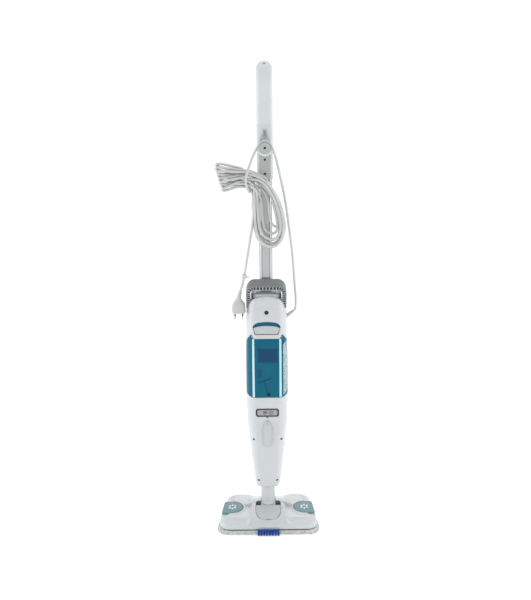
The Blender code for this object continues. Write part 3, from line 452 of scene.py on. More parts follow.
def merge(name, *things):
    """Several meshes as one."""
    work = bmesh.new()
    for thing in things:
        thing.data.transform(thing.matrix_world)
        work.from_mesh(thing.data)
    mesh = bpy.data.meshes.new(name)
    work.to_mesh(mesh)
    work.free()
    for thing in things:
        bpy.data.objects.remove(thing)
    return new_object(name, mesh)


# ---------------------------------------------------------------- mains cord

CORD_RADIUS = 0.003
RISER_ROUTE = (
    (0.0714, 0.0020, 0.5992), (0.0740, 0.0018, 0.6036), (0.0754, 0.0010, 0.6140), (0.0752, -0.0020, 0.6380),
    (0.0708, -0.0080, 0.6900), (0.0662, -0.0120, 0.7490), (0.0590, -0.0160, 0.8080),
    (0.0528, -0.0180, 0.8560), (0.0460, -0.0200, 0.8980), (0.0375, -0.0230, 0.9380),
    (0.0265, -0.0252, 0.9850), (0.0168, -0.0257, 1.0120), (0.0092, -0.0258, 1.0228),
    (0.0000, -0.0258, 1.0258), (-0.0092, -0.0259, 1.0226), (-0.0170, -0.0265, 1.0125),
    (-0.0250, -0.0290, 0.9990), (-0.0308, -0.0330, 0.9860),
)
TAIL_ROUTE = (
    (-0.0370, -0.0356, 0.7980), (-0.0425, -0.0352, 0.7660),
    (-0.0480, -0.0345, 0.7330), (-0.0525, -0.0338, 0.7090), (-0.0562, -0.0325, 0.6890),
    (-0.0608, -0.0300, 0.6720), (-0.0636, -0.0286, 0.6645),
)
CORD_GAP = 0.0061  # least distance between two runs' centrelines
CORD_STEP = 0.0035
TIE_ROUTE = (
    (-0.0335, -0.0370, 0.9775), (-0.0400, -0.0480, 0.9620), (-0.0465, -0.0560, 0.9450),
    (-0.0480, -0.0580, 0.9320),
    (-0.0450, -0.0545, 0.9180), (-0.0385, -0.0450, 0.9060), (-0.0350, -0.0330, 0.9030),
    (-0.0365, -0.0225, 0.9130),
    (-0.0420, -0.0190, 0.9300), (-0.0460, -0.0195, 0.9480), (-0.0500, -0.0250, 0.9630),
)
# per turn: reach of the left lobe, left and right x of the hanging lobe, its lowest z, its depth
TURN_SHAPES = (
    (-0.1250, -0.0290, 0.0440, 0.7680, -0.0365), (-0.1250, -0.0225, 0.0395, 0.7760, -0.0365),
    (-0.1220, -0.0260, 0.0430, 0.7710, -0.0430), (-0.1210, -0.0160, 0.0375, 0.7850, -0.0365),
    (-0.1180, 0.0080, 0.0460, 0.8150, -0.0310), (-0.1160, -0.0195, 0.0400, 0.7880, -0.0430),
    (-0.1130, -0.0095, 0.0340, 0.8000, -0.0365), (-0.1110, -0.0310, 0.0450, 0.8100, -0.0340),
)


def hank_line():
    """Centreline of the whole lead before its runs are pushed apart."""
    points = [*RISER_ROUTE, *TIE_ROUTE]
    for k, (reach, inner, outer, floor, layer) in enumerate(TURN_SHAPES):
        level = k / (len(TURN_SHAPES) - 1)
        deep = (-0.0300, -0.0380, -0.0440)[k % 3]
        fan = 0.034 * (0.5 - level)
        top, low = 0.9600 - 0.0034 * k, 0.9490 - 0.0034 * k
        middle = (top + low) / 2
        points += [
            (-0.060, deep - 0.003, top + fan * 0.25),
            (-0.082, deep - 0.004, top - 0.001 + fan * 0.6),
            (reach + 0.016, deep - 0.003, middle + 0.0045 + fan * 1.0),
            (reach + 0.003, deep - 0.002, middle + 0.0030 + fan * 1.06),
            (reach, deep + 0.001, middle + fan * 1.08 - 0.001),
            (reach + 0.003, deep + 0.004, middle - 0.0050 + fan * 1.06),
            (reach + 0.016, deep + 0.005, middle - 0.0050 + fan * 1.0),
            (-0.082, deep + 0.006, low + fan * 0.6),
            (-0.058, deep + 0.004, low + fan * 0.2),
            (-0.038, layer, low - 0.005),
        ]
        if k == len(TURN_SHAPES) - 1:
            break
        centre, half = (inner + outer) / 2, (outer - inner) / 2
        shift = (inner + 0.029) * 0.55
        points += [
            (inner + 0.001 - 0.010 * (half < 0.025), layer, 0.914 - shift * 0.3),
            (inner - 0.001 * (half > 0.025), layer, 0.880),
            (inner + 0.001, layer, floor + half + 0.030),
            (inner + half * 0.20, layer, floor + half * 0.66),
            (centre - half * 0.20, layer, floor + half * 0.14),
            (centre + half * 0.34, layer, floor + half * 0.03),
            (centre + half * 0.86, layer, floor + half * 0.46),
            (outer, layer, floor + half + 0.010),
            (outer - 0.006, layer - 0.001, 0.862),
            (0.022 - shift * 0.5, layer - 0.001, 0.902),
            (-0.002 - shift * 0.6, layer, 0.935 - shift * 0.2),
            (-0.030, deep, 0.9560 - 0.0034 * k),
        ]
    points += [(-0.0290, -0.0385, 0.910), (-0.0285, -0.0385, 0.880), (-0.0290, -0.0375, 0.840)]
    points += list(TAIL_ROUTE)
    return smooth_path(points, CORD_STEP)


def settle_cord(line):
    """Push the runs apart until they lie beside each other, keeping the lead's length and bends."""
    rest = line.copy()
    count = len(line)
    riser = int(smooth_path(RISER_ROUTE, CORD_STEP).shape[0])
    tail = int(smooth_path(TAIL_ROUTE, CORD_STEP).shape[0]) - 2
    free = np.ones(count)
    free[:riser] = 0.0
    free[count - tail:] = 0.0
    ramp = np.linspace(0, 1, 12)
    free[riser:riser + 12] = ramp
    free[count - tail - 12:count - tail] = ramp[::-1]
    index = np.arange(count)
    skip = 9
    for turn in range(170):
        push = np.zeros_like(line)
        hits = np.zeros(count)
        gap = line[:, None, :] - line[None, :, :]
        far = np.sqrt((gap ** 2).sum(2))
        near = (far < CORD_GAP) & (np.abs(index[:, None] - index[None, :]) > skip)
        a, b = np.nonzero(near)
        if len(a):
            way = gap[a, b]
            size = np.maximum(far[a, b], 1e-6)[:, None]
            move = way / size * (CORD_GAP - size) * 0.5
            np.add.at(push, a, move)
            np.add.at(hits, a, 1.0)
        line = line + push / np.maximum(hits, 1.0)[:, None] * free[:, None]
        if turn < 150:
            smooth = 0.25 * (np.roll(line, 1, 0) + np.roll(line, -1, 0) - 2 * line)
            smooth[0] = smooth[-1] = 0
            line = line + smooth * free[:, None] * 0.7
            line = line + (rest - line) * 0.02 * free[:, None]
        depth_limit = np.where(np.abs(line[:, 0]) < 0.026, -0.0222, -0.0170)
        line[:, 1] = np.where(free > 0, np.minimum(line[:, 1], depth_limit), line[:, 1])
    for _ in range(3):
        smooth = 0.25 * (np.roll(line, 1, 0) + np.roll(line, -1, 0) - 2 * line)
        smooth[0] = smooth[-1] = 0
        line = line + smooth * free[:, None]
    return line


def make_cord():
    line = settle_cord(hank_line())
    lead = pipe("mains_cord", line, CORD_RADIUS, sides=12)
    settle(lead, "main", "cord_pvc", ("cord_riser", "cord_hank", "cord_tail"))
    return lead, float(distances(line)[-1])


# ---------------------------------------------------------------- body surface

BODY_STATIONS = np.array((
    (0.119, 0.0335, 0.0340, 0.0320), (0.146, 0.0375, 0.0375, 0.0350), (0.190, 0.0425, 0.0425, 0.0390),
    (0.242, 0.0480, 0.0480, 0.0430), (0.296, 0.0530, 0.0495, 0.0450), (0.350, 0.0550, 0.0500, 0.0460),
    (0.460, 0.0545, 0.0500, 0.0460), (0.600, 0.0520, 0.0495, 0.0455), (0.650, 0.0515, 0.0490, 0.0450),
))
CROWN_TOP, CROWN_DROP, CROWN_HALF = 0.6485, 0.0130, 0.052
# the lowest section, where the straight sides end, and the section that the crown closes from
BODY_LOW, CROWN_LOW, CROWN_SECTION = 0.119, 0.585, 0.603
SPLIT = -0.008
WALL = 0.0022
FACET_HALF = 0.0305
EDGE_FADE = 0.045  # height over which a wavy edge straightens out
SIDE_CURVE = [(p.x, p.y) for p in interpolate_bezier((0.325, 0.076), (0.66, 0.19), (1.0, 0.47), (1.0, 1.0),
                                                     15)]
CORNER = [(0, 0), (0.02, 0.0008), (0.05, 0.0065), (0.15, 0.030), (0.28, 0.0610), *SIDE_CURVE]
FACET_STEPS = (-0.98, -0.8, -0.6, -0.4, -0.2, 0.0, 0.2, 0.4, 0.6, 0.8, 0.98)


def body_size(z):
    """Half width, front depth and back depth at a height, with the stations' corners eased."""
    spread = np.clip(z + np.linspace(-0.012, 0.012, 7), BODY_STATIONS[0, 0], BODY_STATIONS[-1, 0])
    return [float(np.interp(spread, BODY_STATIONS[:, 0], BODY_STATIONS[:, k]).mean()) for k in (1, 2, 3)]


def facet_half(half):
    """Half width of the flat front, which narrows with the body."""
    return FACET_HALF * min(1.0, half / CROWN_HALF)


def front_line(z, inset=0.0, split=SPLIT):
    """Section from the left parting line round the front to the right one: (x, y, share round the corner)."""
    half, front, _ = body_size(z)
    facet = facet_half(half)
    width, depth = half - inset - facet, front - inset + split
    right = [(facet + width * a, split - depth + depth * b, a * 0.5 + b * 0.5) for a, b in CORNER]
    left = [(-x, y, c) for x, y, c in reversed(right)]
    return [*left, *[(facet * t, split - depth, 0.0) for t in FACET_STEPS], *right]


def back_line(z, inset=0.0, split=SPLIT):
    half, _, back = body_size(z)
    half, back = half - inset, back - inset
    straight = split + 0.3 * (back - split)
    curved = []
    for i in range(37):
        a = math.pi * i / 36
        curved.append((half * math.cos(a), straight + (back - straight) * math.sin(a) ** 0.8, 0.0))
    sides = [(half, split + (straight - split) * t, 0.0) for t in (0.0, 0.3, 0.6, 0.9)]
    return [*sides, *curved, *[(-x, y, c) for x, y, c in reversed(sides)]]


def crown_z(x):
    return CROWN_TOP - CROWN_DROP * (x / CROWN_HALF) ** 2


def crown_fall(x):
    """How far the crown's rim lies below its top."""
    return 0.0295 + 0.0041 * (x / CROWN_HALF) ** 2


CROWN_ROWS = ((1.0, 1.0), (0.9985, 0.985), (0.9880, 0.968), (0.9850, 0.87), (0.977, 0.70), (0.962, 0.51),
              (0.942, 0.32), (0.916, 0.17), (0.885, 0.07), (0.845, 0.018), (0.80, 0.0), (0.744, -0.01))
FOOT_ROWS = ((0.70, 0.1126), (0.84, 0.1128), (0.885, 0.1134), (0.910, 0.1144), (0.950, 0.1160),
             (0.982, 0.1176))


def skin_rows(line_of, levels, inset, split, foot=False, crown=False, edge_low=None, edge_high=None):
    """Rows of the body's skin between z levels, with a rounded foot or a domed top."""
    rows = []
    if foot:
        for scale, z in FOOT_ROWS:
            line = line_of(BODY_LOW, inset, split)
            rows.append([(x * scale, split + (y - split) * scale, z + inset) for x, y, _ in line])
    low, high = levels[0], levels[-1]
    for z in levels:
        line = line_of(z, inset, split)
        row = []
        for x, y, c in line:
            shift = 0.0
            if edge_low:
                shift += edge_low(c) * max(0.0, 1 - (z - low) / EDGE_FADE)
            if edge_high:
                shift += edge_high(c) * max(0.0, 1 - (high - z) / EDGE_FADE)
            row.append((x, y, z + shift))
        rows.append(row)
    if crown:
        line = line_of(CROWN_SECTION, inset, split)
        for t in (0.34, 0.67, 1.0):
            rows.append([(x, y, high + (crown_z(x) - crown_fall(x) - inset - high) * t) for x, y, _ in line])
        for scale, share in CROWN_ROWS[1:]:
            rows.append([(x * scale, split + (y - split) * scale, crown_z(x) - crown_fall(x) * share - inset)
                         for x, y, _ in line])
    return rows


def shell_piece(name, outer, inner):
    """A moulded shell: two skins joined round their rims."""
    rows, count = len(outer), len(outer[0])
    points = [p for row in (*outer, *inner) for p in row]
    far = rows * count
    faces = []
    for i in range(rows - 1):
        for j in range(count - 1):
            a = i * count + j
            faces.append((a, a + 1, a + count + 1, a + count))
            faces.append((far + a, far + a + count, far + a + count + 1, far + a + 1))
    for i in range(rows - 1):
        for j in (0, count - 1):
            a, b = i * count + j, (i + 1) * count + j
            faces.append((a, b, far + b, far + a))
    for j in range(count - 1):
        for i in (0, rows - 1):
            a = i * count + j
            faces.append((a, a + 1, far + a + 1, far + a))
    return from_faces(name, points, faces)


def tank_top_edge(c):
    """The tank's shoulders stand above its middle and fall away towards the parting line."""
    return 0.0112 * ease((c - 0.05) / 0.20) - 0.0065 - 0.040 * max(0.0, c - 0.25)


def tank_low_edge(c):
    return 0.008 * max(0.0, (c - 0.10) / 0.90) ** 1.2


def bore(name, at, radius, depth=0.02, reach=0.02, axis=(0, 1, 0), sides=32):
    """A round cutter from reach in front of a point to depth behind it."""
    return turned(name, [(0, -reach), (radius, -reach), (radius, depth), (0, depth)], at, axis, sides)


def prism(name, outline, low, high, place=along_y):
    return loft(name, [place(outline, low), place(outline, high)])


RECESS = round_corners(
    [(-0.0300, 0.5495), (0.0300, 0.5495), (0.0360, 0.5720), (0.0260, 0.5815), (0.0, 0.5845),
     (-0.0260, 0.5815),
     (-0.0360, 0.5720)], [0.004, 0.004, 0.006, 0.008, 0.012, 0.008, 0.006])
WINDOW_HALF, WINDOW_LOW, WINDOW_HIGH = 0.0300, 0.3265, 0.3490
TUBE_SCREW_Z, SELECTOR_Z, STEP_DEPTH = 0.608, 0.2535, 0.0007
COVER_SCREWS = (("middle", 0.0365, 0.2600), ("bottom", 0.0245, 0.1350))


def panel_step(rows):
    """Below the U-shaped line the lower cover stands a little further in."""
    made = []
    for row in rows:
        line = []
        for x, y, z in row:
            edge = 0.2660 + 0.040 * min(1.0, abs(x) / CROWN_HALF) ** 4
            inward = STEP_DEPTH * ease((edge - z) / 0.0022) * clamp((z - 0.17) / 0.06)
            line.append((x * (1 - inward / 0.05), y + inward, z))
        made.append(line)
    return made


def make_body():
    front_split, back_split = SPLIT - 0.0002, SPLIT + 0.0002
    low = sorted([*np.linspace(BODY_LOW, 0.3786, 52), *np.linspace(0.255, 0.312, 40)])
    outer = panel_step(skin_rows(front_line, low, 0.0, front_split, foot=True, edge_high=tank_low_edge))
    inner = skin_rows(front_line, low, WALL, front_split, foot=True, edge_high=tank_low_edge)
    lower = shell_piece("lower_cover", outer, inner)
    window = round_corners(box(-WINDOW_HALF, WINDOW_HALF, WINDOW_LOW, WINDOW_HIGH), 0.007)
    holes = [prism("window_hole", grown(window, 0.0003), -0.070, -0.030)]
    holes.append(bore("shaft_hole", (0, -0.048, SELECTOR_Z), 0.0040))
    for _, x, z in COVER_SCREWS:
        y = -body_size(z)[1] + 0.004
        holes += [bore("screw_hole", (s * x, y, z), 0.0030) for s in (-1, 1)]
    rounded(cut(lower, *holes), 0.0005, 2, 50)
    settle(lower, "main", "white_plastic", ("lower_front_cover",), sharp=40)

    high = list(np.linspace(0.5458, CROWN_LOW, 12))
    outer = skin_rows(front_line, high, 0.0, front_split, crown=True, edge_low=tank_top_edge)
    inner = skin_rows(front_line, high, WALL, front_split, crown=True, edge_low=tank_top_edge)
    upper = shell_piece("upper_cover", outer, inner)
    cut(upper, prism("recess_hole", RECESS, -0.070, -0.034),
        bore("tube_screw_hole", (0, -0.049, TUBE_SCREW_Z), 0.0056))
    rounded(upper, 0.0006, 2, 50)
    settle(upper, "main", "white_plastic", ("upper_front_cover",), sharp=40)

    levels = list(np.linspace(BODY_LOW, CROWN_LOW, 80))
    rear = shell_piece(
        "rear_shell",
        skin_rows(back_line, levels, 0.0, back_split, foot=True, crown=True),
        skin_rows(back_line, levels, WALL, back_split, foot=True, crown=True),
    )
    cutters = [bore("relief_hole", (0.0540, 0.002, 0.5861), 0.0066, 0.022, 0.022, axis=(0.798, 0, 0.602))]
    for z in np.arange(0.470, 0.541, 0.0088):
        slit = round_corners(box(-0.016, 0.016, z, z + 0.0034), 0.0016)
        cutters.append(prism("vent", slit, 0.030, 0.060))
    rounded(cut(rear, *cutters), 0.0005, 2, 50)
    settle(rear, "main", "white_plastic", ("rear_housing",), sharp=40)
    return window


def ring_line(scale, z=None, rise=0.0, side=0.0):
    """A closed ring after the body's section. It follows the crown, or lies at z; side lifts its sides."""
    line = [*front_line(CROWN_SECTION), *back_line(CROWN_SECTION)[1:-1]]
    made = []
    for x, y, _ in line:
        height = (crown_z(x) if z is None else z) + rise + side * (x / CROWN_HALF) ** 2
        made.append((x * scale, SPLIT + (y - SPLIT) * scale, height))
    return made


TUBE_HALF, TUBE_DEPTH, TUBE_Y = 0.0162, 0.0240, 0.0060


def tube_section(clear=0.0, ridge=0.0):
    """The tube's section: rounded sides and a flat panel between two fine ridges, front and back."""
    half, deep = TUBE_HALF + clear, TUBE_DEPTH / 2 + clear
    side = arc((half - 0.0052, deep - 0.0085), 0.0085, 0, 90, 12)
    side = [(half - 0.0052 + (x - half + 0.0052) * 0.61, y) for x, y in side]
    quarter = [(half, 0.0), *side]
    if ridge:
        quarter += [(0.0108, deep), (0.0104, deep - ridge), (0.0097, deep - ridge), (0.0092, deep - 0.0001)]
    quarter += [(0.005, deep - (0.0001 if ridge else 0.0))]
    back = [*quarter, *mirrored(quarter[1:]), (-half, 0.0)]
    front = [(-x, -y) for x, y in back[1:-1]]
    return [(x, y + TUBE_Y) for x, y in [*back, *front]]


def make_collar_and_tube():
    rows = [ring_line(0.67, z=0.6180), ring_line(0.67, rise=-0.0010), ring_line(0.738, rise=-0.0010)]
    for scale, rise, side in ((0.741, 0.0004, 0.0100), (0.740, 0.0012, 0.0122), (0.735, 0.0020, 0.0130),
                              (0.722, 0.0030, 0.0132), (0.70, 0.0040, 0.0130)):
        rows.append(ring_line(scale, rise=rise, side=side))
    for scale, z, side in ((0.65, 0.6524, -0.0062), (0.59, 0.6540, -0.0040), (0.53, 0.6550, -0.0020),
                           (0.47, 0.6555, 0.0)):
        rows.append(ring_line(scale, z=z, side=side))
    collar = loft("collar_dome", rows)
    cut(collar, loft("tube_hole", [along_z(tube_section(0.0005), z) for z in (0.60, 0.70)]))
    settle(rounded(collar, 0.0005, 2, 50), "main", "grey_plastic", ("collar",), sharp=30,
           paint="pale_grey_plastic")

    outer = [along_z(tube_section(0.0, 0.0006), z) for z in np.linspace(0.555, 1.060, 12)]
    tube = loft("aluminium_tube", outer, caps=False)
    thick = tube.modifiers.new("wall", "SOLIDIFY")
    thick.thickness = 0.0014
    thick.offset = -1.0
    settle(bake(tube), "main", "aluminium", ("handle_tube",), sharp=28)

    # Painted light on the tube: the band 11 to 14 mm from the middle is a painted highlight; a narrow band at
    # the fine ridges and the rounded sides beyond the light band are painted dark as painted shade.
    def strip(face):
        away = abs(face.center.x)
        if 0.0111 < away < 0.0140:
            return 1
        return 2 if away > 0.0090 else 0

    paint_faces(tube, ("tube_painted_highlight", "tube_painted_shade"), strip)


ARCH_HALF, ARCH_TOP, ARCH_FOOT, ARCH_FRONT, ARCH_LEAN = 0.0507, 0.674, 0.6160, -0.042, 0.46
ARCH_RADIUS, ARCH_BEND = 0.0210, 0.6297


def arch_path(inset):
    """Points along the arch from its left foot to its right foot, inset from its outer line."""
    half, top, radius = ARCH_HALF - inset, ARCH_TOP - inset, ARCH_RADIUS - inset
    line = [(-half, ARCH_FOOT + (top - radius - ARCH_FOOT) * t) for t in np.linspace(0, 0.98, 14)]
    line += arc((radius - half, top - radius), radius, 180, 90, 26)
    line += [((half - radius) * t, top) for t in np.linspace(-0.9, 0.9, 15)]
    line += arc((half - radius, top - radius), radius, 90, 0, 26)
    line += [(half, ARCH_FOOT + (top - radius - ARCH_FOOT) * t) for t in np.linspace(0.98, 0, 14)]
    return line


def leaning(points):
    """The arch's top rises towards the back, and its feet step back into the shoulders."""
    made = []
    for x, y, z in points:
        share = clamp((z - ARCH_BEND) / (ARCH_TOP - ARCH_BEND))
        step = 0.0070 * clamp((0.6400 - z) / 0.018) if y < -0.030 else 0.0
        made.append((x, y + step, z + ARCH_LEAN * (y - ARCH_FRONT) * share))
    return made


def make_arch():
    """An outer band with a channel on its underside, crossed by ribs."""
    outer, lip, inner = arch_path(0.0), arch_path(0.0020), arch_path(0.0105)
    section = ((0, -0.0414), (0, -0.0150), (0.0006, -0.0142), (0.0105, -0.0142), (0.0105, -0.0160),
               (0.0020, -0.0160), (0.0020, -0.0420), (0.0006, -0.0420))
    lines = [arch_path(inset) for inset, _ in section]
    rings = []
    for i in range(len(outer)):
        rings.append(leaning([(line[i][0], y, line[i][1]) for line, (_, y) in zip(lines, section)]))
    settle(loft("arch_band", rings), "main", "grey_plastic", ("carry_arch",), sharp=30)

    # The channel's floor is painted near black: painted shade in the gaps between the ribs under the arch.
    rings = [leaning([(lip[i][0], -0.0398, lip[i][1]), (inner[i][0], -0.0398, inner[i][1]),
                      (inner[i][0], -0.0384, inner[i][1]), (lip[i][0], -0.0384, lip[i][1])])
             for i in range(len(outer))]
    settle(loft("arch_channel_painted_shade", rings), "main", "grey_plastic", paint="dark_plastic")

    ribs = []
    gone = distances(outer)
    leg, low_pitch, top_pitch = 0.0370, 0.0052, 0.0084
    places = [(at, 0.0007) for at in np.arange(0.004, leg, low_pitch)]
    places += [(gone[-1] - at, 0.0007) for at, _ in places]
    count = round((gone[-1] - 2 * leg) / top_pitch)
    places += [(leg + (gone[-1] - 2 * leg) * (k + 0.5) / count, 0.0010) for k in range(count)]
    for at, half in places:
        a, b, c, d = [[np.interp(at + shift, gone, line[:, k]) for k in (0, 1)]
                      for shift in (-half, half) for line in (np.array(lip), np.array(inner))]
        ribs.append(loft("rib", [leaning([(x, y, z) for x, z in (a, b, d, c)]) for y in (-0.0417, -0.0396)]))
    for near, far in ((0.0019, 0.0025), (0.0100, 0.0106)):
        edges = [arch_path(near), arch_path(far)]
        ribs.append(loft("rail", [leaning([(edges[a][i][0], y, edges[a][i][1]) for a, y in
                                           ((0, -0.0421), (1, -0.0421), (1, -0.0398), (0, -0.0398))])
                                  for i in range(len(outer))]))
    settle(rounded(merge("arch_ribs", *ribs), 0.0003, 1, 50), "main", "grey_plastic",
           paint="pale_grey_plastic")


# ---------------------------------------------------------------- small fittings


def screw_piece(name, at, axis, radius, length, node):
    """A pan-head screw with a cross recess. The axis points into the material."""
    profile = [(0, 0.0), (radius * 0.7, 0.0001), (radius * 0.93, 0.0005), (radius, 0.0011), (radius, 0.0024),
               (radius * 0.5, 0.0025), (radius * 0.5, length - 0.001), (radius * 0.2, length), (0, length)]
    head = turned(name, profile, at, axis, 28)
    turn = turn_to(axis).to_4x4()
    bars = []
    for width, depth in ((radius * 1.25, radius * 0.28), (radius * 0.28, radius * 1.25)):
        bar = prism("bar", box(-width / 2, width / 2, -depth / 2, depth / 2), -0.001, 0.0011, along_z)
        bar.data.transform(Matrix.Translation(at) @ turn)
        bars.append(bar)
    # The screw heads are painted near black: painted shade for the dark screw holes.
    settle(cut(head, *bars), "main", "dark_plastic", (node,), sharp=30)


def make_screws():
    for level, x, z in COVER_SCREWS:
        for side, word in ((-1, "left"), (1, "right")):
            y = -body_size(z)[1] + 0.004
            screw_piece(f"cover_screw_{level}_{word}", (side * x, y, z), (0, 1, 0), 0.0025, 0.010,
                        f"{level}_{word}_screw")
    screw_piece("large_screw", (0, -0.0478, TUBE_SCREW_Z), (0, 1, 0), 0.0051, 0.040, "tube_screw")
    for i, z in enumerate(HANDLE_SCREWS):
        screw_piece(f"grip_screw_{i + 2}", (0, -0.0164, z), (0, 1, 0), 0.0024, 0.009, f"handle_screw_{i + 2}")
    at = LOOP_MIDDLE + TOP_SCREW_WAY * 0.0478
    screw_piece("grip_screw_1", tuple(at), tuple(-TOP_SCREW_WAY), 0.0023, 0.0068, "handle_screw_1")
    screw_piece("hook_fixing", (0, -0.0330, HOOK_Z), (0, 1, 0), 0.0026, 0.022, "hook_screw")


def make_window(window):
    half = WINDOW_HALF - 0.0032
    inner = round_corners(box(-half, half, WINDOW_LOW + 0.003, WINDOW_HIGH - 0.003), 0.005)
    frame_piece = slab("window_bezel", window, along_y, -0.0508, -0.0462, 0.0006)
    cut(frame_piece, prism("opening", inner, -0.060, -0.0478))
    settle(frame_piece, "main", "dark_plastic", ("window_frame",))
    pane = slab("window_pane", grown(inner, -0.0003), along_y, -0.0501, -0.0483, 0.0004)
    settle(pane, "main", "smoked_clear", ("window_lens",))
    marks = []
    level = -0.0503
    for x in (-0.0060, 0.0090):
        ring, hole = (arc((x, 0.3378), radius, 0, 360, 28)[:-1] for radius in (0.0056, 0.0045))
        marks.append(cut(prism("ring", ring, level, -0.0500), prism("ring_hole", hole, -0.060, -0.040)))
    for x, z, half, tall in ((-0.0060, 0.3392, 0.0036, 0.0012), (-0.0060, 0.3366, 0.0024, 0.0005),
                             (0.0090, 0.3378, 0.0005, 0.0034), (0.0090, 0.3378, 0.0034, 0.0005)):
        marks.append(prism("bar", box(x - half, x + half, z - tall, z + tall), level, -0.0500))
    settle(merge("window_symbols", *marks), "main", "dark_plastic", paint="dark_mark")
    y = -body_size(0.322)[1]
    arrow = round_corners([(-0.0028, 0.3258), (0.0028, 0.3258), (0.0, 0.3212)], 0.0005)
    pointer = prism("window_pointer", arrow, y - 0.0003, y + 0.001)
    settle(pointer, "main", "dark_plastic", paint="dark_mark")


LEVER_SHAPE = ((0.2400, 0.0), (0.2404, 0.0028), (0.2418, 0.0052), (0.2455, 0.0078), (0.2542, 0.0101),
               (0.2650, 0.0118), (0.2760, 0.0127), (0.2860, 0.0128), (0.2950, 0.0118), (0.3030, 0.0098),
               (0.3095, 0.0070), (0.3135, 0.0043), (0.3154, 0.0020), (0.3160, 0.0))


def lever_outline():
    right = smooth_path([(h, z, 0) for z, h in LEVER_SHAPE], 0.0016)
    right = [(float(x), float(z)) for x, z, _ in right]
    return [*right, *mirrored(right[1:-1])]


def make_lever():
    outline = lever_outline()
    rows = [along_y(grown(outline, -0.0004), -0.0505), along_y(outline, -0.0509)]
    for inset, y in ((0.0, -0.0522), (0.0003, -0.0529), (0.0010, -0.0535), (0.0022, -0.0538)):
        rows.append(along_y(grown(outline, -inset), y))
    lever = loft("steam_lever", rows)
    dish = slab("dish", grown(outline, -0.0026), along_y, -0.0534, -0.0580, 0.0003)
    cut(lever, dish)
    shaft = turned("shaft", [(0, 0.0), (0.0035, 0.0), (0.0035, 0.0140), (0.003, 0.0145), (0, 0.0145)],
                   (0, -0.0510, SELECTOR_Z), (0, 1, 0), 28)
    lever = merge("steam_lever", lever, shaft)
    settle(lever, "selector", "pale_grey_plastic", ("selector_lever",), sharp=32)
    inset = slab("lever_inlay", grown(outline, -0.0029), along_y, -0.0540, -0.0533, 0.0003)
    settle(inset, "selector", "pale_grey_plastic", paint="lever_grey")
    arrow = round_corners([(-0.0016, 0.3072), (0.0016, 0.3072), (0.0, 0.3100)], 0.0003)
    mark = prism("lever_mark", arrow, -0.0542, -0.0538)
    settle(mark, "selector", "pale_grey_plastic", paint="dark_mark")


def make_release():
    back = slab("latch_plate", [(x * 1.05, z + (0.0015 if z > 0.56 else -0.0015)) for x, z in RECESS],
                along_y,
                -0.0420, -0.0392, 0.0004)
    settle(back, "main", "teal_plastic", ("latch_backplate",))
    outline = round_corners(
        [(-0.0293, 0.5503), (0.0293, 0.5503), (0.0340, 0.5672), (0.0200, 0.5716), (0.0, 0.5730),
         (-0.0200, 0.5716),
         (-0.0340, 0.5672)], [0.0035, 0.0035, 0.003, 0.010, 0.014, 0.010, 0.003])
    pad = slab("release_button", outline, along_y, -0.0430, -0.0480, 0.0016, steps=5)
    settle(pad, "release", "pale_grey_plastic", ("release_pad",), sharp=50)


# ---------------------------------------------------------------- tank


# what is seen in the tank's front: name, finish, outline, corner radius, how far it stands out
TANK_MARKS = (
    ("tank_label", "label_blue", box(-0.0235, 0.0275, 0.4755, 0.5125), 0.0008, 0.00025),
    ("tank_gauge", "label_soft", box(-0.0225, -0.0135, 0.4355, 0.4590), 0.0008, 0.00025),
    ("valve_arm", "label_deep", [(-0.0240, 0.4195), (0.0120, 0.4318), (0.0115, 0.4341), (-0.0245, 0.4218)],
     0.0006, 0.00020),
    ("valve_stem", "label_deep", [(-0.0075, 0.4250), (-0.0064, 0.4252), (0.0010, 0.3960), (-0.0005, 0.3958)],
     0, 0.00020),
    ("valve_mark", "label_deep", [(-0.0010, 0.3840), (0.0085, 0.3840), (0.0080, 0.3935), (0.0000, 0.3935)],
     0.0012, 0.00020),
)
TANK_LOW, TANK_HIGH, TANK_BACK, FILLER_Y = 0.3792, 0.5452, -0.0092, -0.028


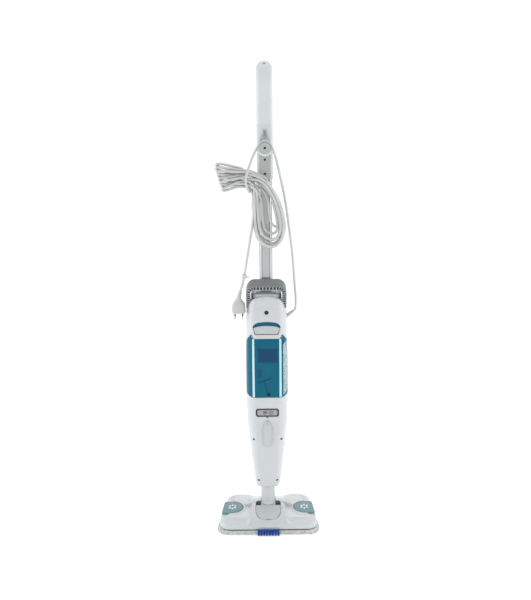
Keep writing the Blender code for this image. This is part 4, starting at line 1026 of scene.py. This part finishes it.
def make_tank():
    back = TANK_BACK
    levels = list(np.linspace(TANK_LOW, TANK_HIGH, 60))

    def rows(inset):
        made = []
        for z in levels:
            pull = max(0.0, 1 - (z - levels[0]) / 0.0035) ** 2 * 0.0022
            line = []
            for x, y, c in front_line(z, 0.0003 + inset + pull, back):
                shift = tank_top_edge(c) * max(0.0, 1 - (TANK_HIGH - z) / EDGE_FADE)
                shift += tank_low_edge(c) * max(0.0, 1 - (z - TANK_LOW) / EDGE_FADE)
                line.append((x, y, z + shift))
            made.append(line)
        return made

    outer = rows(0.0)
    inner = [[(x, y, max(z, 0.3822)) for x, y, z in row] for row in rows(0.0024)]
    closed_outer = [[*row, *[(row[-1][0] * t, back, row[-1][2]) for t in (0.5, 0.0, -0.5)]] for row in outer]
    closed_inner = [[*[(x, min(y, back - 0.0024), z) for x, y, z in row],
                     *[(row[-1][0] * t, back - 0.0024, row[-1][2]) for t in (0.5, 0.0,
                                                                             -0.5)]] for row in inner]
    rings = [*closed_outer, *reversed(closed_inner[1:])]
    tank = loft("tank_shell", rings)
    cut(tank, bore("nozzle_hole", (0, -0.010, 0.3920), 0.0043, 0.008, 0.004))
    settle(tank, "tank", "teal_clear", ("tank_body",), sharp=34)

    lid_line = [(x, y) for x, y, _ in front_line(0.533, 0.0035, -0.0122)]
    lid = slab("tank_cover", lid_line, along_z, 0.5319, 0.5341, 0.0004)
    cut(lid, bore("filler_hole", (0, FILLER_Y, 0.533), 0.0093, 0.01, 0.01, (0, 0, 1)))
    settle(lid, "tank", "teal_plastic", ("tank_lid",))
    profile = [(0, 0.5280), (0.0080, 0.5280), (0.0088, 0.5286), (0.0088, 0.5346), (0.0118, 0.5346),
               (0.0122, 0.5350), (0.0122, 0.5362), (0.0117, 0.5370), (0.0100, 0.5373), (0, 0.5373)]
    cap = turned("filler_plug", profile, (0, FILLER_Y, 0), (0, 0, 1), 48)
    bar = slab("cap_bar", round_corners(box(-0.0092, 0.0092, -0.0296, -0.0264), 0.0014),
               along_z, 0.5366, 0.5400, 0.0006)
    settle(merge("filler_plug", cap, bar), "filler_cap", "grey_plastic", ("filler_cap",))

    # Pale cyan strips along the tank's front creases are a painted highlight on the tank's edges.
    highlight_strips = []
    for side in (-1, 1):
        line = []
        for z in np.linspace(0.3812, 0.5385, 40):
            half, front, _ = body_size(z)
            facet = facet_half(half)
            width, depth = half - facet, front + SPLIT
            row = []
            for a, b in ((0.055, 0.0085), (0.13, 0.0240), (0.21, 0.0440), (0.29, 0.0640)):
                row.append((side * (facet + width * a), SPLIT - depth + depth * b - 0.0001, z))
            inner_row = [(x * 0.997, y + 0.0006, z) for x, y, z in reversed(row)]
            line.append([*row, *inner_row])
        highlight_strips.append(loft("strip", line))
    settle(merge("tank_edge_highlights", *highlight_strips), "tank", "teal_clear", paint="painted_highlight_cyan", sharp=50)

    front = -body_size(0.49)[1] + 0.0003
    for name, paint, points, corner, proud in TANK_MARKS:
        mark = slab(name, round_corners(points, corner), along_y, front + 0.0004, front - proud, 0.0001,
                    steps=1)
        settle(mark, "tank", "teal_clear", paint=paint)


def make_sticker():
    """A plain generic sticker on the tank's right side."""
    rows = []
    for z in np.linspace(0.3925, 0.5300, 50):
        line = [p for p in front_line(z, -0.00012, TANK_BACK) if p[0] > 0 and 0.27 < p[2] < 0.80]
        rows.append([(x, y, z + 0.004 * (x - 0.05) / 0.004) for x, y, _ in line])
    sheet = loft("tank_sticker", rows, closed=False, caps=False)
    thick = sheet.modifiers.new("wall", "SOLIDIFY")
    thick.thickness = 0.00016
    thick.offset = 0.0
    settle(bake(sheet), "tank", "teal_clear", paint="sticker")


# ---------------------------------------------------------------- handle

HANDLE_BOTTOM, HANDLE_FRONT, HANDLE_HALF, COVER_DEPTH = 0.936, -0.018, 0.0195, 0.009
LOOP_Y, LOOP_Z, LOOP_RADIUS = 0.031, 1.162, 0.049
LOOP_MIDDLE = Vector((0, LOOP_Y, LOOP_Z))
TOP_SCREW_WAY = Vector((0, math.cos(math.radians(122)), math.sin(math.radians(122))))
HANDLE_SCREWS = (1.045, 0.982, 0.948)
HOOK_Z, GRIP_LOW, LIP_HIGH, DOME_LOW, HEEL_LOW, HEEL_HIGH = 1.010, 1.0655, 0.9392, 1.1925, 1.030, 1.108
SHELL_EDGE, TRIGGER_ROOM = 0.0062, 0.0068
COVER_PROFILE = ((0.0, 0.0), (0.006, 0.0), (0.0122, 0.0), (0.0130, -0.0001), (0.0138, -0.0004),
                 (0.0153, -0.0012),
                 (0.0168, -0.0022), (0.0181, -0.0036), (0.0190, -0.0052), (0.0194, -0.0068),
                 (0.0195, -0.0080),
                 (0.0195, -0.0089))


def loop_line(inset, step_back, steps=28):
    front = HANDLE_FRONT + step_back + inset
    radius = LOOP_RADIUS - inset
    back, column = LOOP_Y + radius, 0.030 - inset
    heel = []
    for i in range(1, 31):
        t = i / 30
        heel.append((back + (column - back) * ease(t), HEEL_HIGH + (HEEL_LOW - HEEL_HIGH) * t))
    return [
        (front, HANDLE_BOTTOM), *arc((LOOP_Y, LOOP_Z), radius - step_back, 180, 96, steps),
        *arc((LOOP_Y, LOOP_Z), radius, 94, 0, steps), *heel, (column, HANDLE_BOTTOM),
    ]


def domed(thing):
    """The handle's sides close to a round top."""
    work = bmesh.new()
    work.from_mesh(thing.data)
    for z in np.arange(1.1800, 1.2105, 0.0016):
        whole = [*work.verts, *work.edges, *work.faces]
        bmesh.ops.bisect_plane(work, geom=whole, dist=WELD, plane_co=(0, 0, z), plane_no=(0, 0, 1))
    for vertex in work.verts:
        up = clamp((vertex.co.z - DOME_LOW) / 0.0190)
        vertex.co.x *= max(0.25, math.sqrt(1 - up * up))
    work.to_mesh(thing.data)
    work.free()
    return thing


def make_handle():
    stations = [(HANDLE_FRONT, z, 180.0) for z in np.linspace(HANDLE_BOTTOM, LOOP_Z, 90)]
    for a in np.linspace(178, 96.5, 46):
        stations.append((LOOP_Y + LOOP_RADIUS * math.cos(math.radians(a)),
                         LOOP_Z + LOOP_RADIUS * math.sin(math.radians(a)), a))
    rows = []
    for y, z, a in stations:
        out = (math.cos(math.radians(a)), math.sin(math.radians(a)))
        grip = clamp((z - GRIP_LOW) / 0.0018)
        lip = clamp((LIP_HIGH - z) / 0.0006)
        width = 1.0 - 0.030 * grip + 0.012 * lip
        half = [(x * width, d - 0.00045 * grip * (1 if x < 0.0185 else 0) + 0.0004 * lip) for x,
                d in COVER_PROFILE]
        line = [*mirrored(half[1:]), *half, (0.0, -0.0089)]
        rows.append([(x, y + out[0] * d, z + out[1] * d) for x, d in line])
    cover = domed(loft("grip_front_cover", rows))
    cutters = [bore("screw_hole", (0, HANDLE_FRONT, z), 0.0029) for z in HANDLE_SCREWS]
    cutters.append(bore("hook_hole", (0, HANDLE_FRONT, HOOK_Z), 0.0031))
    at = LOOP_MIDDLE + TOP_SCREW_WAY * 0.045
    cutters.append(bore("top_hole", tuple(at), 0.0029, 0.01, 0.01, tuple(TOP_SCREW_WAY)))
    dent = round_corners([(-0.0050, 1.0560), (0.0050, 1.0560), (0.0124, 1.0210), (0.0124, 1.0080),
                          (-0.0124, 1.0080),
                          (-0.0124, 1.0210)], [0.0015, 0.0015, 0.003, 0.010, 0.010, 0.003])
    cutters.append(prism("dent", dent, -0.030, HANDLE_FRONT + 0.0010))
    cut(cover, *cutters)
    settle(rounded(cover, 0.0004, 2, 40), "main", "white_plastic", ("handle_front_cover",), sharp=30)

    # Faces below the hook take cover_shade and the dent's faces a darker grey: painted shade below the hook
    # and in the dent.
    def zone(face):
        x, y, z = face.center
        if z > 1.0662:
            return 1
        if 0.9385 < z < 1.0000 and abs(x) < 0.0145 and face.normal.y < -0.9:
            return 2
        return 3 if 1.0000 < z < 1.0575 and abs(x) < 0.0126 and y > HANDLE_FRONT + 0.0009 else 0

    paint_faces(cover, ("grip_plastic", "cover_shade", "pale_grey_plastic"), zone)

    gap = [*arc((0.032, 1.160), 0.018, 0, 180, 30), *arc((0.032, 1.098), 0.018, 180, 360, 30)]
    for side, word in ((-1, "left"), (1, "right")):
        rows = [along_x(loop_line(0.0, COVER_DEPTH + 0.0003), side * 0.0002)]
        for a in np.linspace(0, math.pi / 2, 9):
            x = HANDLE_HALF - 0.0003 - SHELL_EDGE * (1 - math.sin(a))
            rows.append(along_x(loop_line(SHELL_EDGE * (1 - math.cos(a)), COVER_DEPTH + 0.0003), side * x))
        shell = cut(loft("side", rows), prism("gap", gap, -0.03, 0.03, along_x))
        domed(rounded(shell, 0.0026, 4, 60))
        slot = prism("slot", box(0.0440, 0.0560, 1.1020, 1.1600), -TRIGGER_ROOM, TRIGGER_ROOM, along_x)
        pit = prism("pit", box(0.0540, 0.0640, 1.1030, 1.1590), -TRIGGER_ROOM, TRIGGER_ROOM, along_x)
        cut(shell, slot, pit)
        shell.name = f"grip_{word}_side"
        settle(shell, "main", "grip_plastic", (f"handle_{word}_shell",), sharp=32)

    # A near white crescent under the hook disc is a painted highlight on the handle's face.
    lip = [*arc((0, 1.0090), 0.0188, 205, 335, 24), *arc((0, 1.010), 0.0142, 335, 205, 24)]
    hook_highlight = slab("hook_painted_highlight", lip, along_y, HANDLE_FRONT + 0.0010, HANDLE_FRONT - 0.0028, 0.0007)
    settle(hook_highlight, "main", "white_plastic", paint="white_print_and_highlight")
    profile = [(0, 0.0008), (0.0112, 0.0008), (0.0112, 0.0118), (0.0115, 0.0125), (0.0124, 0.0130),
               (0.0129, 0.0136),
               (0.0130, 0.0146), (0.0128, 0.0154), (0.0122, 0.0161), (0.0112, 0.0164), (0.0104, 0.0164),
               (0.0098, 0.0160),
               (0.0092, 0.0158), (0.0052, 0.0160), (0.0045, 0.0166), (0.0038, 0.0167), (0, 0.0167)]
    hook = turned("hook_stem", profile, (0, HANDLE_FRONT, HOOK_Z), (0, -1, 0), 64)
    cut(hook, bore("hook_hole", (0, HANDLE_FRONT - 0.02, HOOK_Z), 0.0031, 0.03))
    settle(hook, "main", "white_plastic", ("cord_hook",), sharp=32, paint="cover_shade")

    line = round_corners(
        [(0.0555, 1.1560), (0.0480, 1.1540), (0.0445, 1.1440), (0.0430, 1.1250), (0.0445, 1.1100),
         (0.0500, 1.1045),
         (0.0545, 1.1060), (0.0560, 1.1200), (0.0600, 1.1300), (0.0605, 1.1530)], 0.004, 4)
    trigger = slab("steam_button", line, along_x, -0.0060, 0.0060, 0.0014, steps=4)
    cut(trigger, bore("spring_room", (0, 0.0600, 1.1400), 0.0048, 0.0030, 0.0022))
    settle(trigger, "trigger", "grey_plastic", ("steam_trigger",), sharp=40)
    cushion = slab("rear_cap", round_corners(box(-0.0085, 0.0085, 0.9400, 1.0120), 0.006),
                   along_y, 0.0290, 0.0308, 0.0008)
    settle(cushion, "main", "pale_grey_plastic")


# ---------------------------------------------------------------- floor head and neck


def plan_ring(inset, extra=0.0, steps=14):
    """The head's plan, a trapezoid with round corners."""
    front, rear = 0.131 + extra - inset, 0.118 + extra - inset
    low, high = -0.079 - extra + inset, 0.078 + extra - inset
    radius = max(0.027 - inset * 0.6, 0.010)
    ring = []
    for cx, cy, start in ((rear - radius, high - radius, 0), (radius - rear, high - radius, 90),
                          (radius - front, low + radius, 180), (front - radius, low + radius, 270)):
        ring += arc((cx, cy), radius, start, start + 90, steps)
    return ring


def dense_ring(inset, extra=0.0, count=260):
    ring = plan_ring(inset, extra)
    cloud = np.array([*ring, ring[0]])
    gone = distances(cloud)
    at = np.linspace(0, gone[-1], count, endpoint=False)
    return np.stack([np.interp(at, gone, cloud[:, k]) for k in (0, 1)], 1)


SADDLE = np.array(((-0.0790, 0.0215), (-0.0740, 0.0235), (-0.0680, 0.0250), (-0.0620, 0.0268),
                   (-0.0585, 0.0286),
                   (-0.0480, 0.0362), (-0.0330, 0.0440), (-0.0185, 0.0480), (0.0, 0.0484), (0.0100, 0.0482),
                   (0.0200, 0.0468), (0.0300, 0.0436), (0.0420, 0.0380), (0.0550, 0.0310), (0.0700, 0.0240),
                   (0.0780, 0.0215)))
GROOVES = (0.0150, 0.0205)
PIN_Z, PEDAL_Y, SPRING_X = 0.034, -0.009, 0.100
HEAD_INSETS = (0.0, 0.0004, 0.0012, 0.0030, 0.0050, 0.0075, 0.0100, 0.0125, 0.0140, 0.0150, 0.0160, 0.0178,
               0.0195,
               0.0205, 0.0215, 0.0228, 0.0240)


def head_height(x, y, inset, rims):
    """Height of the head's cover: wings with fine grooves, a raised saddle and rims round the pedals."""
    wing = float(np.interp(inset, (0.0, 0.0012, 0.0030, 0.0060, 0.0100, 0.0160, 0.0240, 0.0400),
                           (0.0215, 0.0250, 0.0275, 0.0300, 0.0322, 0.0342, 0.0355, 0.0360)))
    away = abs(x)
    groove = max(ease(1 - abs(inset - at) / 0.0011) for at in GROOVES)
    wing -= 0.0012 * groove * ease((away - 0.058) / 0.008) * ease((0.113 - away) / 0.012)
    near = float(np.sqrt(((rims - (away, y)) ** 2).sum(1)).min())
    wing += 0.0026 * math.exp(-((near - 0.0015) / 0.0048) ** 2)
    half = 0.0425 + 0.011 * ease((-0.045 - y) / 0.034)
    soft = 0.026 * ease((y - 0.016) / 0.040)
    share = ease((half + 0.0085 + 0.5 * soft - away) / (0.0100 + soft))
    saddle = float(np.interp(y, SADDLE[:, 0], SADDLE[:, 1]))
    return wing * (1 - share) + saddle * share


def d_line(side, clear=0.0, steps=24):
    depth, reach = 0.029 + clear, 0.034
    inner, outer = 0.070 - clear, 0.1275 + clear
    centre = inner + reach
    curve = [(centre + reach * math.cos(math.radians(a)), PEDAL_Y + depth * math.sin(math.radians(a)))
             for a in np.linspace(90, 270, steps)]
    corners = [(outer, PEDAL_Y - depth), (outer - 0.006, PEDAL_Y + depth), *curve]
    return [(side * x, y) for x, y in round_corners(corners, [0.006, 0.006] + [0.0] * steps, 6)]


def flower(cx, cy, radius, low, high):
    """A generic mark: a ring of six short petals."""
    marks = []
    for k in range(6):
        a = math.radians(60 * k + 30)
        line = []
        for t in np.linspace(0, 2 * math.pi, 18, endpoint=False):
            u, v = radius * (0.66 + 0.30 * math.cos(t)), radius * 0.20 * math.sin(t)
            line.append((cx + u * math.cos(a) - v * math.sin(a), cy + u * math.sin(a) + v * math.cos(a)))
        marks.append(prism("petal", line, low, high, along_z))
    return marks


def make_head():
    rims = np.array(smooth_path([(x, y, 0.0) for x, y in d_line(1, 0.0012)], 0.0012))[:, :2]
    rows = [[(x, y, z) for x, y in dense_ring(inset)] for z,
            inset in ((0.0128, 0.0006), (0.0132, 0.0), (0.0180, 0.0))]
    for inset in HEAD_INSETS:
        rows.append([(x, y, head_height(x, y, inset, rims)) for x, y in dense_ring(inset)])
    base = dense_ring(0.0240)
    centre_line = np.stack([np.clip(base[:, 0], -0.088, 0.088) * 0.97, base[:, 1] * 0.04], 1)
    for k in range(1, 43):
        t = k / 42
        ring = base * (1 - t) + centre_line * t
        rows.append([(x, y, head_height(x, y, 0.0240 + 0.050 * t, rims)) for x, y in ring])
    shell = loft("head_cover", rows)
    tools = []
    for side in (-1, 1):
        tools.append(loft("pocket", [along_z(d_line(side, 0.0019), z) for z in (0.0235, 0.060)]))
        tools.append(bore("spring_seat", (side * SPRING_X, PEDAL_Y, 0.018), 0.0082, 0.0100, 0.0100,
                          (0, 0, 1)))
    slot = round_corners(box(-0.0343, 0.0343, -0.0585, 0.0090), [0.0260, 0.0260, 0.0140, 0.0140], 10)
    tools.append(prism("slot", slot, 0.0, 0.080, along_z))
    way_back = round_corners(box(-0.0205, 0.0205, 0.0031, 0.0640), [0.0, 0.0, 0.006, 0.006])
    tools.append(prism("way_back", way_back, -0.001, 0.081, along_z))
    tools.append(bore("drum_room", (0, 0, PIN_Z), 0.0136, 0.0337, 0.0337, (1, 0, 0), 48))
    cut(shell, *tools)
    settle(rounded(shell, 0.0007, 2, 48), "head", "white_plastic", ("head_shell",), sharp=40)

    for side, word in ((-1, "left"), (1, "right")):
        pedal = slab(f"foot_pedal_{word}", d_line(side), along_z, 0.0325, 0.0395, 0.0022, steps=6)
        for vertex in pedal.data.vertices:
            reach = ((abs(vertex.co.x) - 0.1015) / 0.030) ** 2 + ((vertex.co.y - PEDAL_Y) / 0.032) ** 2
            if vertex.co.z > 0.036:
                vertex.co.z -= 0.0006 * min(1.0, reach)
        cut(pedal, bore("spring_room", (side * SPRING_X, PEDAL_Y, 0.0330), 0.0080, 0.0030, 0.0030, (0, 0, 1)))
        settle(pedal, f"{word}_pedal", "pedal_teal", (f"{word}_pedal",), sharp=40)
        marks = flower(side * 0.0990, PEDAL_Y, 0.0128, 0.0383, 0.03955)
        settle(merge(f"pedal_mark_{word}", *marks), f"{word}_pedal", "pedal_teal", paint="white_print_and_highlight")


def make_neck():
    """The yoke's front panel, its boss and drum on the pin, and the round sleeve above."""
    face = [(-0.0185, 0.0497), (-0.0330, 0.0446), (-0.0480, 0.0366), (-0.0577, 0.0289)]
    under = [(-0.0563, 0.0262), (-0.0462, 0.0326), (-0.0318, 0.0402), (-0.0185, 0.0446)]
    panel = prism("yoke_panel", [(y, z) for y, z in (*face, *under)], -0.0335, 0.0335, along_x)
    corner = 0.0245
    plan = [(0.0335, 0.0200), (-0.0335, 0.0200),
            *arc((-0.0335 + corner, -0.0577 + corner), corner, 180, 270, 20),
            *arc((0.0335 - corner, -0.0577 + corner), corner, 270, 360, 20)]
    cut(panel, prism("plan", plan, 0.0, 0.080, along_z), operation="INTERSECT")
    cut(panel, prism("notch", box(-0.0058, 0.0058, -0.0600, -0.0556), 0.0, 0.080, along_z))
    settle(rounded(panel, 0.0008, 2, 40), "neck", "pale_grey_plastic", ("yoke",), sharp=20)
    block = [(-0.0330, 0.0440), (-0.0200, 0.0487), (0.0150, 0.0487), (0.0160, 0.0340), (0.0, 0.0190),
             (-0.0300, 0.0380)]
    boss = prism("yoke_boss", round_corners(block, 0.003), -0.0195, 0.0195, along_x)
    cut(boss, bore("pin_bore", (0, 0, PIN_Z), 0.0041, 0.05, 0.05, (1, 0, 0)))
    settle(rounded(boss, 0.0008, 2, 40), "neck", "pale_grey_plastic")
    # The drum is painted near black: painted shade in the pit behind the yoke panel.
    drum = turned("yoke_drum", [(0.0041, -0.0330), (0.0120, -0.0330), (0.0128, -0.0322), (0.0128, 0.0322),
                                (0.0120, 0.0330), (0.0041, 0.0330), (0.0041, -0.0330)], (0, 0, PIN_Z),
                  (1, 0, 0), 48)
    settle(drum, "neck", "pale_grey_plastic", paint="dark_plastic")

    profile = [(0.0125, 0.060), (0.0125, 0.139), (0.0130, 0.1398), (0.0158, 0.1398), (0.0165, 0.139),
               (0.0165, 0.1245),
               (0.0172, 0.1238), (0.0186, 0.1219), (0.0190, 0.1208), (0.0190, 0.0580), (0.0188, 0.0574),
               (0.0188, 0.0568),
               (0.0190, 0.0562), (0.0192, 0.0512), (0.0188, 0.0502), (0.0180, 0.0498), (0, 0.0498),
               (0, 0.060)]
    settle(turned("neck_sleeve", profile, sides=72), "neck", "white_plastic", ("neck_tube",), sharp=34)


def add_strand(points, faces, rings):
    """A thin closed thread through rings of points, added to a mesh in the making."""
    first, sides, last = len(points), len(rings[0]), len(rings) - 1
    for ring in rings:
        points += ring
    for i in range(last):
        for j in range(sides):
            a, b = first + i * sides + j, first + i * sides + (j + 1) % sides
            faces.append((a, b, b + sides, a + sides))
    faces.append(tuple(first + j for j in reversed(range(sides))))
    faces.append(tuple(first + last * sides + j for j in range(sides)))


PAD_EXTRA, LOOP_COUNT, LOOP_DEEP = 0.0055, 5200, 0.0045


def make_pad():
    rng = np.random.default_rng(7)
    count = 520
    rows = []
    for inset, z in ((0.030, 0.0004), (0.008, 0.0002), (0.0030, 0.0008), (0.0008, 0.0022), (0.0, 0.0040),
                     (0.0004, 0.0060), (0.0018, 0.0076), (0.0045, 0.0086), (0.0090, 0.0088), (0.030, 0.0084)):
        ring = dense_ring(inset, PAD_EXTRA, count)
        wave = 0.0005 * np.sin(np.arange(count) * 0.9) + 0.0007 * rng.standard_normal(count)
        side = 1.0 if 0.001 < z < 0.0088 and inset < 0.006 else 0.15
        length = np.linalg.norm(ring, axis=1)[:, None]
        ring = ring + ring / length * (wave * side)[:, None]
        lift = rng.standard_normal(count) * 0.00025 * side
        rows.append([(x, y, max(0.0, z + d)) for (x, y), d in zip(ring, lift)])
    pad = loft("terry_pad", rows)
    settle(pad, "head", "terry", ("mop_pad",), sharp=80)

    around_pad = [dense_ring(inset, PAD_EXTRA, 1200) for inset in (0.0004, 0.0012, 0.0024, 0.0040)]
    points, faces = [], []
    sides, steps = 3, 5
    for _ in range(LOOP_COUNT):
        inset = rng.uniform(0.0, LOOP_DEEP)
        around = rng.uniform(0, 1)
        ring_at = around_pad[int(inset / LOOP_DEEP * 3.999)]
        x, y = ring_at[int(around * len(ring_at)) % len(ring_at)]
        out = Vector((x / 0.131, y / 0.078, 0)).normalized()
        z = rng.uniform(0.0018, 0.0074)
        up = Vector((rng.normal(0, 0.5), rng.normal(0, 0.5), rng.normal(0, 1))).normalized()
        across = out.cross(up).normalized()
        size = rng.uniform(0.0009, 0.0015)
        middle = Vector((x, y, z)) - out * 0.0003
        rings = []
        for i in range(steps + 1):
            a = math.pi * (i / steps)
            spine = middle + across * (size * math.cos(a)) + out * (size * 1.25 * math.sin(a))
            way = (-across * math.sin(a) + out * math.cos(a)).normalized()
            side = way.cross(across.cross(out)).normalized()
            lift = way.cross(side)
            ring = []
            for j in range(sides):
                b = 2 * math.pi * j / sides
                spot = spine + (side * math.cos(b) + lift * math.sin(b)) * 0.00036
                ring.append((spot.x, spot.y, max(0.0002, spot.z)))
            rings.append(ring)
        add_strand(points, faces, rings)
    settle(from_faces("terry_loops", points, faces, weld=False), "head", "terry", sharp=80)


def make_brush():
    rng = np.random.default_rng(3)
    outline = round_corners(box(-0.0300, 0.0300, -0.0858, -0.0795), 0.0012)
    strip = slab("brush_strip", outline, along_z, 0.0112, 0.0140, 0.0006)
    settle(strip, "head", "bristle_blue", ("brush",))
    points, faces = [], []
    sides = 4
    for k in range(8):
        middle = -0.0300 + 0.0075 * (k + 0.5)
        for _ in range(110):
            u, v = rng.uniform(-1, 1), rng.uniform(-1, 1)
            top = Vector((middle + 0.0024 * u, -0.0876 + 0.0012 * v, 0.0143 + rng.uniform(-0.0004, 0.0004)))
            low = Vector((middle + 0.0028 * u + rng.normal(0, 0.0001), -0.0882 + 0.0018 * v,
                          rng.uniform(0.0006, 0.0016)))
            rings = []
            for t, thick in ((0.0, 0.00034), (0.6, 0.00034), (1.0, 0.00024)):
                spot = top.lerp(low, t)
                turns = [2 * math.pi * j / sides for j in range(sides)]
                rings.append([(spot.x + thick * math.cos(b), spot.y + thick * math.sin(b),
                               spot.z) for b in turns])
            add_strand(points, faces, rings)
    settle(from_faces("brush_bristles", points, faces, weld=False), "head", "bristle_blue", sharp=60)


# ---------------------------------------------------------------- pieces on the cord


PLUG_X, PLUG_Y = -0.0700, -0.0280


def make_plug():
    def contour(z, half_width, half_depth, shift=0.0, power=2.6, count=56):
        line = []
        for i in range(count):
            a = 2 * math.pi * i / count
            c, s = math.cos(a), math.sin(a)
            line.append((PLUG_X + shift + half_width * math.copysign(abs(c) ** (2 / power), c),
                         PLUG_Y + half_depth * math.copysign(abs(s) ** (2 / power), s), z))
        return line

    rows = []
    for z, w, d in ((0.6020, 0.0160, 0.0112), (0.6022, 0.0168, 0.0122), (0.6032, 0.0174, 0.0129),
                    (0.6060, 0.0175, 0.0130),
                    (0.6180, 0.0172, 0.0128), (0.6230, 0.0166, 0.0124), (0.6275, 0.0150, 0.0114),
                    (0.6315, 0.0122, 0.0098),
                    (0.6350, 0.0096, 0.0082), (0.6385, 0.0074, 0.0068), (0.6410, 0.0064, 0.0060)):
        rows.append(contour(z, w, d))
    for k in range(5):
        low = 0.6425 + k * 0.0041
        wide = 0.0060 - k * 0.00048
        shift = 0.0055 * (low - 0.640) / 0.0225
        rows.append(contour(low, wide, wide, shift, 2.0))
        rows.append(contour(low + 0.0024, wide - 0.0001, wide - 0.0001, shift + 0.0006, 2.0))
        rows.append(contour(low + 0.0027, wide - 0.0010, wide - 0.0010, shift + 0.0007, 2.0))
        rows.append(contour(low + 0.0038, wide - 0.0010, wide - 0.0010, shift + 0.0009, 2.0))
    plug = loft("mains_plug", rows)
    grooves = []
    for side in (-1, 1):
        for z in (0.6075, 0.6112, 0.6149, 0.6186):
            line = box(PLUG_X + side * 0.0160, PLUG_X + side * 0.0200, z, z + 0.0015)
            grooves.append(prism("groove", line, -0.050, 0.0))
    cut(plug, *grooves)
    settle(rounded(plug, 0.0003, 1, 45), "main", "cord_pvc", ("plug_body",), sharp=34)
    for side, word in ((-1, "left"), (1, "right")):
        x = PLUG_X + side * 0.0095
        profile = [(0, 0.0), (0.0013, 0.0001), (0.0019, 0.0008), (0.0020, 0.0018), (0.0020, 0.0060),
                   (0.0020, 0.0168),
                   (0, 0.0168)]
        pin = turned(f"plug_prong_{word}", profile, (x, PLUG_Y, 0.5849), sides=24)
        settle(pin, "main", "steel", (f"plug_pin_{word}",))
        profile = [(0.0020, 0.0), (0.0022, 0.0003), (0.00225, 0.0075), (0.0020, 0.0076)]
        sleeve = turned(f"plug_sleeve_{word}", profile, (x, PLUG_Y, 0.5940), sides=24)
        settle(sleeve, "main", "dark_plastic")
    seam = loft("plug_seam", [contour(0.6020, 0.0110, 0.0070), contour(0.6015, 0.0110, 0.0070)])
    settle(seam, "main", "dark_plastic")


def make_relief_and_clip():
    start, end = Vector((0.0380, 0.002, 0.5740)), Vector((0.0701, 0.002, 0.5982))
    way = (end - start).normalized()
    length = (end - start).length
    profile = [(0.0, 0.0), (0.0093, 0.0), (0.0093, 0.0026), (0.0058, 0.0030), (0.0058, 0.0140)]
    at = 0.0140
    while at < length - 0.0045:
        wide = 0.0058 - 0.0016 * at / length
        profile += [(wide, at), (wide, at + 0.0019), (wide - 0.0009, at + 0.0022),
                    (wide - 0.0009, at + 0.0034)]
        at += 0.0037
    profile += [(0.0043, at), (0.0043, length - 0.0008), (0.0038, length), (0.0, length)]
    settle(turned("cord_relief", profile, tuple(start), tuple(way), 40), "main", "grey_plastic",
           ("strain_relief",),
           paint="cord_pvc")

    ring_at = Vector((-0.0545, -0.0331, 0.6985))
    along = Vector((0.0037, -0.0013, 0.0200)).normalized()
    profile = [(0.0040, -0.0055), (0.0050, -0.0055), (0.0056, -0.0050), (0.0057, 0.0), (0.0056, 0.0050),
               (0.0050, 0.0055),
               (0.0040, 0.0055), (0.0040, -0.0055)]
    clip = turned("clip_ring", profile, tuple(ring_at), tuple(along), 40)
    near, far = ring_at.x + 0.0044, ring_at.x + 0.0125
    line = [(near, ring_at.z - 0.0034), (far, ring_at.z - 0.0030), (far, ring_at.z - 0.0008),
            (near, ring_at.z - 0.0004)]
    tab = slab("tab", round_corners(line, 0.0008), along_y, ring_at.y - 0.0028, ring_at.y + 0.0028, 0.0005)
    settle(merge("clip_ring", clip, tab), "main", "cord_pvc", ("cord_clip",))


# ---------------------------------------------------------------- build

make_camera()
make_studio()
make_finishes()
for node_name, node in frame["nodes"].items():
    node.data.materials.clear()
    node.data.materials.append(FINISHES[RECORD_SLOT[node_name]])

# The sole plate is painted near black: painted shade in the pit behind the yoke panel.
frame["nodes"]["sole_plate"].data.materials[0] = FINISHES["dark_plastic"]
make_window(make_body())
make_collar_and_tube()
make_arch()
make_screws()
make_lever()
make_release()
make_tank()
make_sticker()
make_handle()
make_head()
make_neck()
make_pad()
make_brush()
make_plug()
make_relief_and_clip()
cord, cord_length = make_cord()
print("cord length", round(cord_length, 3))
